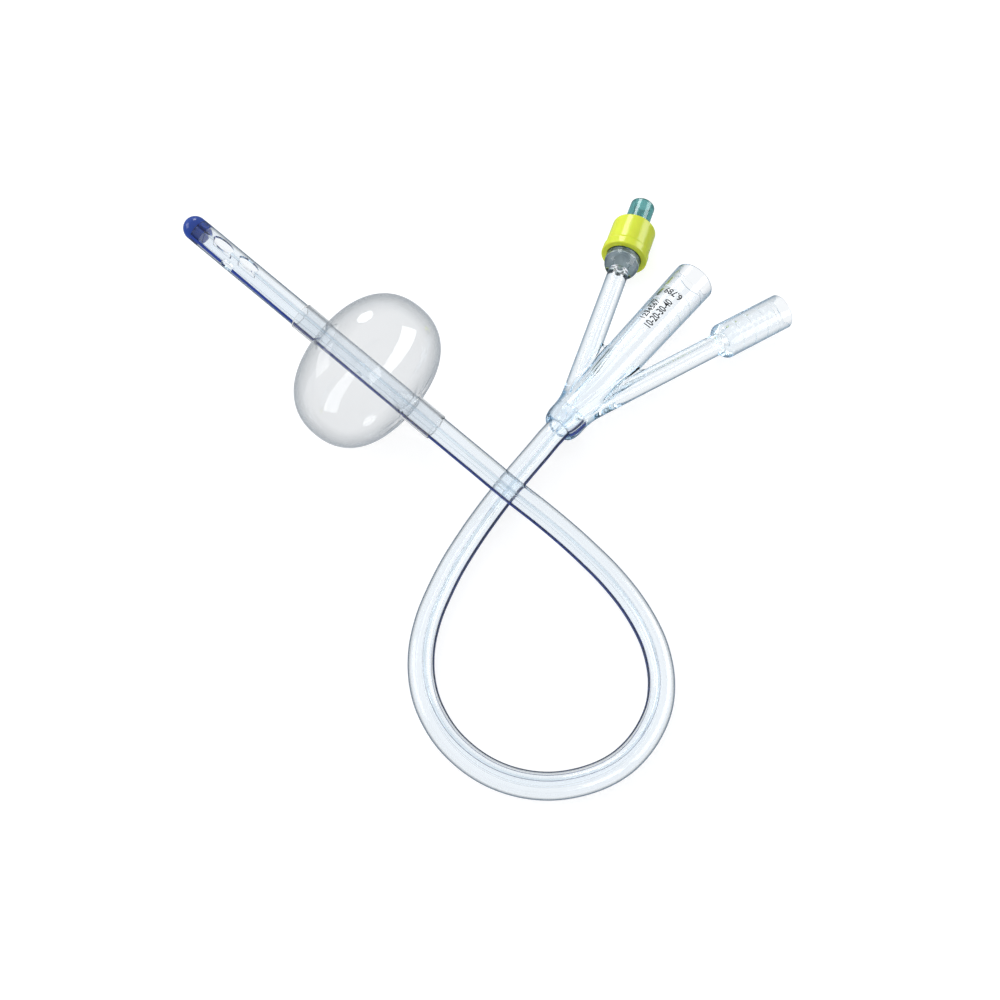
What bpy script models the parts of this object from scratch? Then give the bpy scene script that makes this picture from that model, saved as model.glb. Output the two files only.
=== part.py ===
"""Three-way silicone Foley catheter of 18 French, lying on a table with its balloon filled.

The shaft is one extruded tube with three lumens. It leaves the funnel moulding, lies in a loop, passes
over itself and runs up through the balloon to its closed blue tip. The moulding's three arms are the
drainage funnel, the irrigation connector and the inflation arm, whose socket holds a sprung check valve.

Frame: metres, +Z up, floor at Z = 0, +Y along the drainage funnel, origin under the middle of the box.
"""

import math

import bmesh
import bpy
import numpy as np
from mathutils import Matrix, Vector
from mathutils.geometry import tessellate_polygon

MM = 0.001

# Clearances
BOND_GAP = 0.05 * MM  # between pieces that are glued, moulded or pressed together
RUNNING_GAP = 0.10 * MM  # round the valve's moving stem
CUT_MARGIN = 0.5 * MM  # how far a cutter runs past the face that it opens

# Where the axes of the three arms meet, at the height that the collar's flange rests at
JUNCTION_X = 16.12 * MM
JUNCTION_Y = 5.11 * MM

# Shaft, extruded: an outer circle, two D-shaped lumens either side of a septum, and a small round one
SHAFT_OD = 6.0 * MM
SHAFT_WALL = 0.65 * MM
SEPTUM = 0.35 * MM
SEPTUM_OFFSET = 0.55 * MM  # from the shaft's centre towards the stripe
LUMEN_CORNER = 0.65 * MM  # how much of each D's corners the septum's feet fill
INFLATION_LUMEN_D = 0.5 * MM
INFLATION_LUMEN_INSET = 0.1 * MM  # of its centre, from the circle that the D lumens lie on
STRIPE_WIDTH = 0.8 * MM
STRIPE_DEPTH = 0.35 * MM
FLARE_LENGTH = 5.4 * MM  # of the end that is stretched over the moulding's core pins
FLARE_GROWTH = 0.2  # share by which that end is wider
FLARE_STEPS = 4
STATION_PITCH = 6.4 * MM
SECTION_STEP = 22.5  # degrees between the outer circle's points
STRIPE_ANGLE = -6.0  # degrees above the horizontal, on the loop's inner side
STRIPE_TURN = 27.0  # degrees that the section turns by between the crossing and the tip

# The shaft's centre line, in millimetres from the junction across the floor. The third value is the share
# that it has risen by: first from lying on the floor to the moulding's axis, then to the balloon's
ROUTE_FROM_MOULDING = (
    (0.0, 4.0, 1.0),
    (0.0, 0.0, 1.0),
    (0.0, -3.4, 1.0),
    (0.0, -5.6, 0.985),
    (0.0, -9.2, 0.81),
    (-0.2, -14.0, 0.47),
    (-0.35, -19.8, 0.09),
    (-0.1, -25.0, 0.0),
    (0.4, -30.2, 0.0),
    (1.2, -36.5, 0.0),
    (2.7, -44.9, 0.0),
    (4.9, -52.8, 0.0),
    (7.2, -58.9, 0.0),
    (10.6, -64.9, 0.0),
    (15.2, -70.1, 0.0),
    (21.0, -74.1, 0.0),
    (28.6, -76.7, 0.0),
    (37.0, -77.0, 0.0),
    (44.7, -75.0, 0.0),
    (51.6, -70.8, 0.0),
    (57.0, -64.7, 0.0),
    (60.3, -57.9, 0.0),
)
ROUTE_TO_TIP = (
    (61.2, -50.5, 0.0),
    (59.8, -42.9, 0.0),
    (56.3, -36.7, 0.0),
    (51.3, -31.8, 0.006),
    (45.9, -28.5, 0.018),
    (39.4, -25.9, 0.042),
    (32.2, -24.2, 0.085),
    (25.6, -23.4, 0.133),
    (19.4, -23.0, 0.191),
    (12.0, -22.95, 0.273),
    (2.8, -23.34, 0.394),
    (-6.9, -23.51, 0.530),
    (-20.0, -23.75, 0.713),
    (-40.2, -24.11, 0.995),
    (-60.9, -24.49, 1.285),
    (-80.0, -24.83, 1.552),
    (-92.5, -25.06, 1.727),
)
CROSSING_FROM_TIP = 97.0 * MM

# Closed tip
TIP_DOME_LENGTH = 2.9 * MM
TIP_SHOULDER = 1.0 * MM
TIP_PRONG = 2.2 * MM

# Eyes and the inflation port, each with its middle's distance from the shaft's tip end, its length and
# width, and its angle round the shaft in degrees above the horizontal on the stripe's side
DRAINAGE_EYES = (
    (7.9 * MM, 5.8 * MM, 2.5 * MM, 96.0),
    (15.6 * MM, 5.6 * MM, 2.3 * MM, 101.0),
)
IRRIGATION_EYE = (11.4 * MM, 3.4 * MM, 2.2 * MM)
EYE_FLOOR = 0.35 * MM  # the eyes' cuts stop this far from the shaft's centre
INFLATION_PORT = (52.0 * MM, 1.4 * MM, 0.9 * MM)

# Balloon, a thin sleeve bonded to the shaft at a cuff on either side of it
BALLOON_FROM_TIP = 53.7 * MM
BALLOON_OD = 39.0 * MM
BALLOON_LENGTH = 26.7 * MM
BALLOON_END_FULLNESS = 2.23  # exponent of the outline along the shaft
BALLOON_SIDE_FULLNESS = 2.66  # exponent of the outline across the shaft
BALLOON_WALL = 0.28 * MM
CUFF_REACH = 21.1 * MM  # from the balloon's middle to each cuff's end
CUFF_FILLET = 1.1 * MM
CUFF_BEVEL = 0.12 * MM
PLEAT_COUNT = 7
PLEAT_DEPTH = 0.28 * MM
BALLOON_SIDES = 35
BALLOON_STEPS = 15

# Funnel moulding
ARM_ANGLE = 20.2  # degrees of each side arm from the drainage funnel
ARM_OD = 5.45 * MM
SOCKET_MOUTH = 1.6 * MM  # the moulding's lower end, this far below the junction
SOCKET_LIP = 0.5 * MM
SHOULDER_R = 4.8 * MM
SHOULDER_LENGTH = 3.4 * MM
FUNNEL_BASE_R = 4.65 * MM
FUNNEL_BASE_Y = 7.0 * MM
FUNNEL_LENGTH = 56.6 * MM
FUNNEL_RIM_R = 5.6 * MM
FUNNEL_RIM_WALL = 0.75 * MM
FUNNEL_BORE_LENGTH = 42.0 * MM
FUNNEL_THROAT_R = 2.6 * MM
RIM_EDGE = 0.25 * MM
FUNNEL_RINGS = 4
FUNNEL_RING_FIRST = 4.2 * MM
FUNNEL_RING_PITCH = 4.4 * MM
RING_WIDTH = 0.6 * MM
RING_HEIGHT = 0.18 * MM
WEB_LENGTH = 13.2 * MM
WEB_THICKNESS = 2.4 * MM

# Irrigation arm and its connector
IRRIGATION_ARM = 46.8 * MM  # from the junction to the connector
IRRIGATION_BORE_R = 1.25 * MM
CONNECTOR_LENGTH = 20.0 * MM
CONNECTOR_R = 4.56 * MM
CONNECTOR_SHOULDER = 1.9 * MM
CONNECTOR_MOUTH_R = 3.9 * MM
CONNECTOR_LEAD_IN = 1.4 * MM
CONNECTOR_BORE_R = 3.2 * MM
CONNECTOR_FOOT_R = 2.65 * MM
CONNECTOR_BULLET = 3.0 * MM
CONNECTOR_NECK_R = 1.6 * MM
CONNECTOR_RINGS = 4
CONNECTOR_RING_FIRST = 3.0 * MM
CONNECTOR_RING_PITCH = 3.7 * MM

# Passages from the shaft's lumens into the three arms
DRAINAGE_PASSAGE_R = 1.5 * MM
IRRIGATION_PASSAGE_R = 0.7 * MM
INFLATION_PASSAGE_R = 0.42 * MM
PASSAGE_LENGTH = 10.0 * MM

# Inflation arm and the bulb-shaped socket at its end
INFLATION_ARM = 49.6 * MM  # from the junction to the socket
INFLATION_BORE_R = 0.9 * MM
SOCKET_SHOULDER = 3.2 * MM
SOCKET_WALL = 0.95 * MM
SOCKET_FOOT = 3.5 * MM
SOCKET_DEPTH = 9.7 * MM

# Valve body, its inlet and its base
BARREL_R = 3.65 * MM
BODY_FLANGE_STEP = 0.9 * MM
BODY_FLANGE = 0.8 * MM
INLET_R = 3.3 * MM
INLET_LENGTH = 9.6 * MM
LUER_MOUTH_R = 2.14 * MM
LUER_TAPER = 0.03  # of radius for each unit of depth
LUER_DEPTH = 7.5 * MM
SEAT_HOLE_R = 1.3 * MM
SEAT_THICKNESS = 0.8 * MM
CHAMBER_R = 2.55 * MM
BASE_THICKNESS = 1.5 * MM
BASE_PLUG = 1.0 * MM
SPIGOT_R = 1.75 * MM
SPIGOT_LENGTH = 2.6 * MM
SPIGOT_BORE_R = 0.7 * MM

# Valve collar
COLLAR_WALL = 1.2 * MM
COLLAR_LENGTH = 10.5 * MM
COLLAR_CROWN = 1.15 * MM
COLLAR_EDGE = 0.4 * MM
FLANGE_STEP = 0.3 * MM
FLANGE_LENGTH = 2.4 * MM
FLANGE_CHAMFER = 0.25 * MM

# Stem, seal and spring
STEM_PIN_R = 0.75 * MM
STEM_PIN_REACH = 2.9 * MM  # above the seat's upper face, where a syringe's tip meets it
STEM_DISC_R = 2.1 * MM
STEM_DISC = 0.8 * MM
STEM_TAIL = 3.4 * MM
SEAL_R = 2.2 * MM
SEAL_THICKNESS = 1.3 * MM
SPRING_WIRE_D = 0.36 * MM
SPRING_MEAN_R = 1.6 * MM
SPRING_TURNS = 6

# Worked out from the sizes above
SHAFT_R = SHAFT_OD / 2
LUMEN_R = SHAFT_R - SHAFT_WALL
CONNECTOR_END = IRRIGATION_ARM + CONNECTOR_LENGTH
SOCKET_R = BARREL_R + BOND_GAP + SOCKET_WALL
SOCKET_FLOOR = INFLATION_ARM + SOCKET_FOOT
SOCKET_RIM = SOCKET_FLOOR + SOCKET_DEPTH
BASE_LOW = SOCKET_FLOOR + BOND_GAP
BARREL_END = BASE_LOW + BASE_THICKNESS + BOND_GAP
BASE_TOP = BARREL_END + BASE_PLUG
SPIGOT_END = BASE_LOW - SPIGOT_LENGTH
BODY_FLANGE_R = BARREL_R + BODY_FLANGE_STEP
BODY_FLANGE_LOW = SOCKET_RIM + BOND_GAP
BODY_FLANGE_TOP = BODY_FLANGE_LOW + BODY_FLANGE
INLET_END = BODY_FLANGE_TOP + INLET_LENGTH
SEAT_TOP = INLET_END - LUER_DEPTH
SEAT_LOW = SEAT_TOP - SEAT_THICKNESS
STEM_DISC_TOP = SEAT_LOW - SEAL_THICKNESS - RUNNING_GAP - BOND_GAP
STEM_DISC_LOW = STEM_DISC_TOP - STEM_DISC
COLLAR_BORE_R = SOCKET_R + BOND_GAP
COLLAR_R = COLLAR_BORE_R + COLLAR_WALL
COLLAR_END = BODY_FLANGE_TOP + BOND_GAP + COLLAR_CROWN
COLLAR_START = COLLAR_END - COLLAR_LENGTH
FLANGE_R = COLLAR_R + FLANGE_STEP
JUNCTION = Vector((JUNCTION_X, JUNCTION_Y, FLANGE_R))


def clear_scene():
    """Removes what the scene holds, so that only this model is in it."""
    for obj in list(bpy.data.objects):
        bpy.data.objects.remove(obj, do_unlink=True)


def linear(channel):
    """An sRGB channel from 0 to 1 as linear light."""
    return channel / 12.92 if channel <= 0.04045 else ((channel + 0.055) / 1.055) ** 2.4


def finish(name, colour, roughness, metallic=0.0, see_through=0.0):
    """A Principled material from an sRGB hex colour."""
    channels = [linear(int(colour[i : i + 2], 16) / 255) for i in (1, 3, 5)]
    material = bpy.data.materials.new(name)
    material.use_nodes = True
    shader = material.node_tree.nodes["Principled BSDF"]
    shader.inputs["Base Color"].default_value = (*channels, 1.0)
    shader.inputs["Roughness"].default_value = roughness
    shader.inputs["Metallic"].default_value = metallic
    shader.inputs["Transmission Weight"].default_value = see_through
    shader.inputs["IOR"].default_value = 1.41
    return material


def add_object(name, bm, material=None, parent=None):
    """The bmesh as a smooth-shaded object, sharp where its faces turn by more than 35 degrees."""
    bmesh.ops.recalc_face_normals(bm, faces=bm.faces)
    mesh = bpy.data.meshes.new(name)
    bm.to_mesh(mesh)
    bm.free()
    mesh.shade_smooth()
    mesh.set_sharp_from_angle(angle=math.radians(35))
    obj = bpy.data.objects.new(name, mesh)
    bpy.context.scene.collection.objects.link(obj)
    if material:
        mesh.materials.append(material)
    if parent:
        obj.parent = parent
    return obj


def as_helper(obj):
    """Marks a cutter or an operand, which isn't a piece of the catheter."""
    obj.hide_render = True
    obj.display_type = "WIRE"
    return obj


def boolean(obj, operation, other):
    """One exact Boolean on obj, left live."""
    step = obj.modifiers.new(f"{operation.lower()}_{other.name}", "BOOLEAN")
    step.operation = operation
    step.object = as_helper(other)


def arc(centre, radius, start, end, steps):
    """Points on a circle in the plane of a turned outline, angles in degrees from the radius axis."""
    angles = [math.radians(start + (end - start) * i / steps) for i in range(steps + 1)]
    return [
        (centre[0] + radius * math.cos(a), centre[1] + radius * math.sin(a)) for a in angles
    ]


def turned(name, outline, sides, material=None, parent=None):
    """A body turned about local Z from (radius, height) points. An outline that ends off the axis is
    closed into a ring."""
    bm = bmesh.new()
    points = [bm.verts.new((radius, 0.0, height)) for radius, height in outline]
    edges = [bm.edges.new(pair) for pair in zip(points, points[1:])]
    if outline[0][0] > 0 or outline[-1][0] > 0:
        edges.append(bm.edges.new((points[-1], points[0])))
    bmesh.ops.spin(
        bm,
        geom=points + edges,
        axis=(0, 0, 1),
        cent=(0, 0, 0),
        angle=math.tau,
        steps=sides,
        use_merge=True,
    )
    bmesh.ops.remove_doubles(bm, verts=bm.verts, dist=1e-7)
    return add_object(name, bm, material, parent)


def arm_frame(angle):
    """The matrix that stands local Z along an arm, angle degrees clockwise from +Y, with its origin at
    the junction and local Y downwards."""
    turn = math.radians(angle)
    along = Vector((math.sin(turn), math.cos(turn), 0.0))
    across = Vector((math.cos(turn), -math.sin(turn), 0.0))
    rotation = Matrix((across, along.cross(across), along)).transposed()
    return Matrix.Translation(JUNCTION) @ rotation.to_4x4()


def smooth_route():
    """The shaft's centre line as closely spaced points on a Catmull-Rom curve through the route."""
    to_moulding, to_balloon = FLANGE_R - SHAFT_R, BALLOON_OD / 2 - SHAFT_R
    points = [(x * MM, y * MM, rise * to_moulding) for x, y, rise in ROUTE_FROM_MOULDING]
    points += [(x * MM, y * MM, rise * to_balloon) for x, y, rise in ROUTE_TO_TIP]
    route = np.array(points) + (JUNCTION_X, JUNCTION_Y, SHAFT_R)
    ends = np.vstack([2 * route[0] - route[1], route, 2 * route[-1] - route[-2]])
    t = np.linspace(0.0, 1.0, 24, endpoint=False)[:, None]
    spans = []
    for a, b, c, d in zip(ends, ends[1:], ends[2:], ends[3:]):
        spans.append(
            0.5
            * (
                2 * b
                + (c - a) * t
                + (2 * a - 5 * b + 4 * c - d) * t**2
                + (3 * b - 3 * c + d - a) * t**3
            )
        )
    return np.vstack([*spans, route[-1]])


class Shaft:
    """The shaft's centre line, measured from the end in the moulding, with its frames."""

    def __init__(self):
        self.points = smooth_route()
        steps = np.linalg.norm(np.diff(self.points, axis=0), axis=1)
        self.reach = np.concatenate([[0.0], np.cumsum(steps)])
        self.length = float(self.reach[-1])

    def at(self, distance):
        """The point at a distance along the shaft."""
        return np.array([np.interp(distance, self.reach, self.points[:, k]) for k in range(3)])

    def frame(self, distance):
        """Point, direction of travel, the side that the stripe is on, and up, all square to each other."""
        step = 0.4 * MM
        low, high = max(distance - step, 0.0), min(distance + step, self.length)
        travel = self.at(high) - self.at(low)
        travel /= np.linalg.norm(travel)
        side = np.cross((0.0, 0.0, 1.0), travel)
        side /= np.linalg.norm(side)
        return self.at(distance), travel, side, np.cross(travel, side)

    def turn(self, distance):
        """How far the section is turned from the side towards up, in radians."""
        start = self.length - CROSSING_FROM_TIP
        share = min(max((distance - start) / CROSSING_FROM_TIP, 0.0), 1.0)
        return math.radians(STRIPE_ANGLE + STRIPE_TURN * share)

    def growth(self, distance):
        """The section's scale, which rises over the flared end."""
        share = min(max(1.0 - distance / FLARE_LENGTH, 0.0), 1.0)
        return 1.0 + FLARE_GROWTH * math.sin(share * math.pi / 2)

    def stations(self, start, end):
        """Distances for the sections: close together in the flare, then a pitch apart from the mouth of
        the socket on."""
        flare = [FLARE_LENGTH * k / FLARE_STEPS for k in range(FLARE_STEPS + 1)]
        mouth = shaft_end_y() + SOCKET_MOUTH
        count = math.ceil((self.length - mouth) / STATION_PITCH)
        rest = np.linspace(mouth, self.length, count + 1)
        inside = [d for d in [*flare, *rest] if start < d < end]
        return [start, *inside, end]


def stripe_half_angle():
    return math.degrees(math.asin(STRIPE_WIDTH / 2 / SHAFT_R))


def shaft_outline():
    """The outer circle with the stripe's groove, as (side, up) points."""
    half = stripe_half_angle()
    count = round(360 / SECTION_STEP)
    angles = [half, *(SECTION_STEP * k for k in range(1, count)), 360 - half]
    groove = SHAFT_R - STRIPE_DEPTH
    circle = [
        (SHAFT_R * math.cos(math.radians(a)), SHAFT_R * math.sin(math.radians(a)))
        for a in angles
    ]
    return [*circle, (groove, -STRIPE_WIDTH / 2), (groove, STRIPE_WIDTH / 2)]


def stripe_outline():
    """The stripe's section, which fills the groove up to the shaft's surface."""
    half_width = STRIPE_WIDTH / 2 - BOND_GAP
    floor = SHAFT_R - STRIPE_DEPTH + BOND_GAP
    edge = math.sqrt(SHAFT_R**2 - half_width**2)
    return [(floor, half_width), (floor, -half_width), (edge, -half_width), (SHAFT_R, 0.0), (edge, half_width)]


def d_lumen(side, play, steps):
    """One D-shaped lumen. side is 1 towards the stripe and -1 away from it, play makes it smaller."""
    radius = LUMEN_R - play
    chord = side * SEPTUM_OFFSET + SEPTUM / 2 + play
    foot = math.sqrt(LUMEN_R**2 - (chord - play) ** 2) - LUMEN_CORNER - play / 2
    edge = chord + LUMEN_CORNER
    sweep = math.degrees(math.acos(edge / radius))
    points = arc((0.0, 0.0), radius, -sweep, sweep, steps)
    points = [(chord, -foot), *points, (chord, foot)]
    return points if side > 0 else [(-s, u) for s, u in points]


def irrigation_lumen(play=0.0):
    return d_lumen(1, play, 4)


def drainage_lumen(play=0.0):
    return d_lumen(-1, play, 8)


def inflation_lumen():
    centre = (SEPTUM_OFFSET, INFLATION_LUMEN_INSET - LUMEN_R)
    return arc(centre, INFLATION_LUMEN_D / 2, 0, 300, 5)


def placed(frame, turn, growth, outline):
    """An outline's points in space, on the shaft's frame."""
    point, _, side, up = frame
    across = side * math.cos(turn) + up * math.sin(turn)
    above = up * math.cos(turn) - side * math.sin(turn)
    return [point + growth * (s * across + u * above) for s, u in outline]


def swept(name, shaft, start, end, outlines, material):
    """The first outline carried along the shaft, with the others as lumens through it. The end faces are
    filled round the lumens' mouths."""
    bm = bmesh.new()
    rings = []
    for distance in shaft.stations(start, end):
        frame, turn, growth = shaft.frame(distance), shaft.turn(distance), shaft.growth(distance)
        rings.append(
            [[bm.verts.new(p) for p in placed(frame, turn, growth, o)] for o in outlines]
        )
    for near, far in zip(rings, rings[1:]):
        for loop_a, loop_b in zip(near, far):
            for k in range(len(loop_a)):
                bm.faces.new((loop_a[k - 1], loop_a[k], loop_b[k], loop_b[k - 1]))
    for ring in (rings[0], rings[-1]):
        corners = [v for loop in ring for v in loop]
        loops = [[v.co for v in loop] for loop in ring]
        for triangle in tessellate_polygon(loops):
            bm.faces.new([corners[k] for k in triangle])
    return add_object(name, bm, material)


def oval_cutter(name, shaft, from_tip, length, width, angle, low):
    """An oval punch that enters the shaft's side at an angle above the stripe's side."""
    distance = shaft.length - from_tip
    point, travel, side, up = shaft.frame(distance)
    turn = math.radians(angle)
    outward = side * math.cos(turn) + up * math.sin(turn)
    frame = Matrix((travel, np.cross(outward, travel), outward)).transposed().to_4x4()
    frame.translation = point
    top = SHAFT_R + CUT_MARGIN
    bm = bmesh.new()
    bmesh.ops.create_cone(
        bm,
        segments=14,
        radius1=0.5,
        radius2=0.5,
        depth=top - low,
        cap_ends=True,
        matrix=Matrix.Diagonal((length, width, 1.0, 1.0)),
    )
    bmesh.ops.translate(bm, verts=bm.verts, vec=(0.0, 0.0, (top + low) / 2))
    bmesh.ops.transform(bm, verts=bm.verts, matrix=frame)
    return add_object(name, bm)


def make_shaft(shaft, material):
    """The extruded tube, with its drainage eyes, irrigation eye and inflation port punched."""
    outlines = [shaft_outline(), drainage_lumen(), irrigation_lumen(), inflation_lumen()]
    tube = swept("shaft_tube", shaft, 0.0, shaft.length, outlines, material)
    for k, (from_tip, length, width, angle) in enumerate(DRAINAGE_EYES):
        eye = oval_cutter(f"drainage_eye_{k + 1}", shaft, from_tip, length, width, angle, EYE_FLOOR)
        boolean(tube, "DIFFERENCE", eye)
    from_tip, length, width = IRRIGATION_EYE
    angle = math.degrees(shaft.turn(shaft.length - from_tip))
    floor = SEPTUM_OFFSET + SEPTUM
    boolean(tube, "DIFFERENCE", oval_cutter("irrigation_eye", shaft, from_tip, length, width, angle, floor))
    from_tip, length, width = INFLATION_PORT
    centre = Vector((SEPTUM_OFFSET, INFLATION_LUMEN_INSET - LUMEN_R))
    angle = math.degrees(shaft.turn(shaft.length - from_tip) + math.atan2(centre.y, centre.x))
    port = oval_cutter("inflation_port", shaft, from_tip, length, width, angle, centre.length)
    boolean(tube, "DIFFERENCE", port)
    return tube


def make_stripe(shaft, material):
    """The radiopaque stripe, which the irrigation eye's punch leaves in two lengths."""
    from_tip, length, _ = IRRIGATION_EYE
    eye = shaft.length - from_tip
    half = length / 2 + BOND_GAP
    outline = [stripe_outline()]
    swept("radiopaque_stripe", shaft, 0.0, eye - half, outline, material)
    swept("radiopaque_stripe_tip", shaft, eye + half, shaft.length, outline, material)


def make_tip(shaft, material):
    """The blue closed tip: a dome on the shaft's end, with a prong in each D-shaped lumen."""
    point, travel, side, up = shaft.frame(shaft.length)
    frame = Matrix((side, up, travel)).transposed().to_4x4()
    frame.translation = point
    radius = SHAFT_R - BOND_GAP
    base = BOND_GAP
    dome = [
        (radius * math.cos(math.radians(a)), base + TIP_SHOULDER + TIP_DOME_LENGTH * math.sin(math.radians(a)))
        for a in range(0, 90, 15)
    ]
    outline = [(0.0, base), (radius, base), *dome, (0.0, base + TIP_SHOULDER + TIP_DOME_LENGTH)]
    tip = turned("tip_plug", outline, 20, material)
    tip.matrix_world = frame
    turn = shaft.turn(shaft.length)
    for name, section in (("drainage", drainage_lumen(BOND_GAP)), ("irrigation", irrigation_lumen(BOND_GAP))):
        bm = bmesh.new()
        face = bm.faces.new([bm.verts.new((s, u, -TIP_PRONG)) for s, u in section])
        grown = bmesh.ops.extrude_face_region(bm, geom=[face])["geom"]
        rise = TIP_PRONG + base + TIP_SHOULDER
        bmesh.ops.translate(bm, verts=[v for v in grown if isinstance(v, bmesh.types.BMVert)], vec=(0, 0, rise))
        prong = add_object(f"tip_prong_{name}", bm)
        prong.matrix_world = frame @ Matrix.Rotation(turn, 4, "Z")
        boolean(tip, "UNION", prong)
    return tip


def balloon_outline():
    """The balloon's outer side from one cuff's end to the other's, as (radius, distance) points. Past the
    neck it is a superellipse, and a fillet joins it to each cuff."""
    cuff = SHAFT_R + BOND_GAP + BALLOON_WALL
    half_length, half_width = BALLOON_LENGTH / 2, BALLOON_OD / 2
    neck = cuff + CUFF_FILLET
    start = math.asin((neck / half_width) ** (BALLOON_SIDE_FULLNESS / 2))
    skin = []
    for k in range(BALLOON_STEPS + 1):
        t = start + (math.pi - 2 * start) * k / BALLOON_STEPS
        along = abs(math.cos(t)) ** (2 / BALLOON_END_FULLNESS) * half_length
        across = math.sin(t) ** (2 / BALLOON_SIDE_FULLNESS) * half_width
        skin.append((across, math.copysign(along, math.cos(t))))
    mouth = skin[0][1]
    bend = arc((neck, mouth + CUFF_FILLET), CUFF_FILLET, 180, 270, 2)[:-1]
    tip_side = [(cuff - CUFF_BEVEL, CUFF_REACH), (cuff, CUFF_REACH - CUFF_BEVEL), *bend]
    return [*tip_side, *skin, *((r, -d) for r, d in reversed(tip_side))]


def make_balloon(shaft, material):
    """The filled balloon. Its wall keeps one thickness, and pleats gather it at the funnel-side neck."""
    outer = balloon_outline()
    inner = []
    for k, (r, d) in enumerate(outer):
        before, after = outer[max(k - 1, 0)], outer[min(k + 1, len(outer) - 1)]
        run = Vector((after[0] - before[0], after[1] - before[1])).normalized()
        inner.append((r + BALLOON_WALL * run.y, d - BALLOON_WALL * run.x))
    bore = SHAFT_R + BOND_GAP
    inner = [(max(r, bore), d) for r, d in inner]
    inner[0], inner[-1] = (bore, CUFF_REACH), (bore, -CUFF_REACH)
    loop = [*outer, *reversed(inner)]
    point, travel, side, up = shaft.frame(shaft.length - BALLOON_FROM_TIP)
    frame = Matrix((side, up, travel)).transposed().to_4x4()
    frame.translation = point
    bm = bmesh.new()
    rings = []
    for k in range(BALLOON_SIDES):
        angle = math.tau * k / BALLOON_SIDES
        ring = []
        for r, d in loop:
            rise = min(max((r - bore) / CUFF_FILLET - 1.0, 0.0), 1.0)
            fade = math.exp(-max(r - bore, 0.0) / (2.5 * CUFF_FILLET))
            pleat = PLEAT_DEPTH * rise * fade * math.cos(PLEAT_COUNT * angle) if d < 0 else 0.0
            ring.append(bm.verts.new((r * math.cos(angle), r * math.sin(angle), d + pleat)))
        rings.append(ring)
    for near, far in zip(rings, [*rings[1:], rings[0]]):
        for k in range(len(loop)):
            bm.faces.new((near[k - 1], near[k], far[k], far[k - 1]))
    balloon = add_object("balloon", bm, material)
    balloon.matrix_world = frame
    return balloon


def ringed_bore(mouth_r, end_r, mouth, depth, first, pitch, count):
    """A bore's side from its mouth down: it narrows evenly, and a low bead rings it at each pitch."""

    def radius(below):
        return mouth_r + (end_r - mouth_r) * below / depth

    side = [(mouth_r, mouth)]
    for k in range(count):
        below = first + pitch * k
        side.append((radius(below - RING_WIDTH / 2), mouth - below + RING_WIDTH / 2))
        side.append((radius(below) - RING_HEIGHT, mouth - below))
        side.append((radius(below + RING_WIDTH / 2), mouth - below - RING_WIDTH / 2))
    side.append((end_r, mouth - depth))
    return side


def drainage_body():
    """The moulding's shoulder and the drainage funnel's outside, in the funnel's frame."""
    socket = (SHAFT_R + BOND_GAP, -SOCKET_MOUTH)
    lip = socket[0] + SOCKET_LIP
    shoulder = [
        (
            lip + (SHOULDER_R - lip) * math.sin(math.radians(a)),
            -SOCKET_MOUTH + SHOULDER_LENGTH * (1 - math.cos(math.radians(a))),
        )
        for a in range(15, 91, 15)
    ]
    return [
        (0.0, -SOCKET_MOUTH),
        (lip, -SOCKET_MOUTH),
        *shoulder,
        (FUNNEL_BASE_R, FUNNEL_BASE_Y),
        (FUNNEL_RIM_R, FUNNEL_LENGTH - RIM_EDGE),
        (FUNNEL_RIM_R - RIM_EDGE, FUNNEL_LENGTH),
        (0.0, FUNNEL_LENGTH),
    ]


def drainage_bore():
    """The drainage funnel's bore, from above its mouth down to the throat."""
    mouth_r = FUNNEL_RIM_R - FUNNEL_RIM_WALL
    side = ringed_bore(
        mouth_r,
        FUNNEL_THROAT_R,
        FUNNEL_LENGTH,
        FUNNEL_BORE_LENGTH,
        FUNNEL_RING_FIRST,
        FUNNEL_RING_PITCH,
        FUNNEL_RINGS,
    )
    top = FUNNEL_LENGTH + CUT_MARGIN
    return [(0.0, top), (mouth_r, top), *side, (0.0, side[-1][1])]


def connector_body():
    """The irrigation arm and its connector's outside."""
    centre = (CONNECTOR_R - CONNECTOR_SHOULDER, IRRIGATION_ARM + CONNECTOR_SHOULDER)
    shoulder = arc(centre, CONNECTOR_SHOULDER, -90, 0, 5)
    return [
        (0.0, SHAFT_R),
        (ARM_OD / 2, SHAFT_R),
        (ARM_OD / 2, IRRIGATION_ARM),
        *(point for point in shoulder if point[0] > ARM_OD / 2),
        (CONNECTOR_R, CONNECTOR_END - RIM_EDGE),
        (CONNECTOR_R - RIM_EDGE, CONNECTOR_END),
        (0.0, CONNECTOR_END),
    ]


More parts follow.
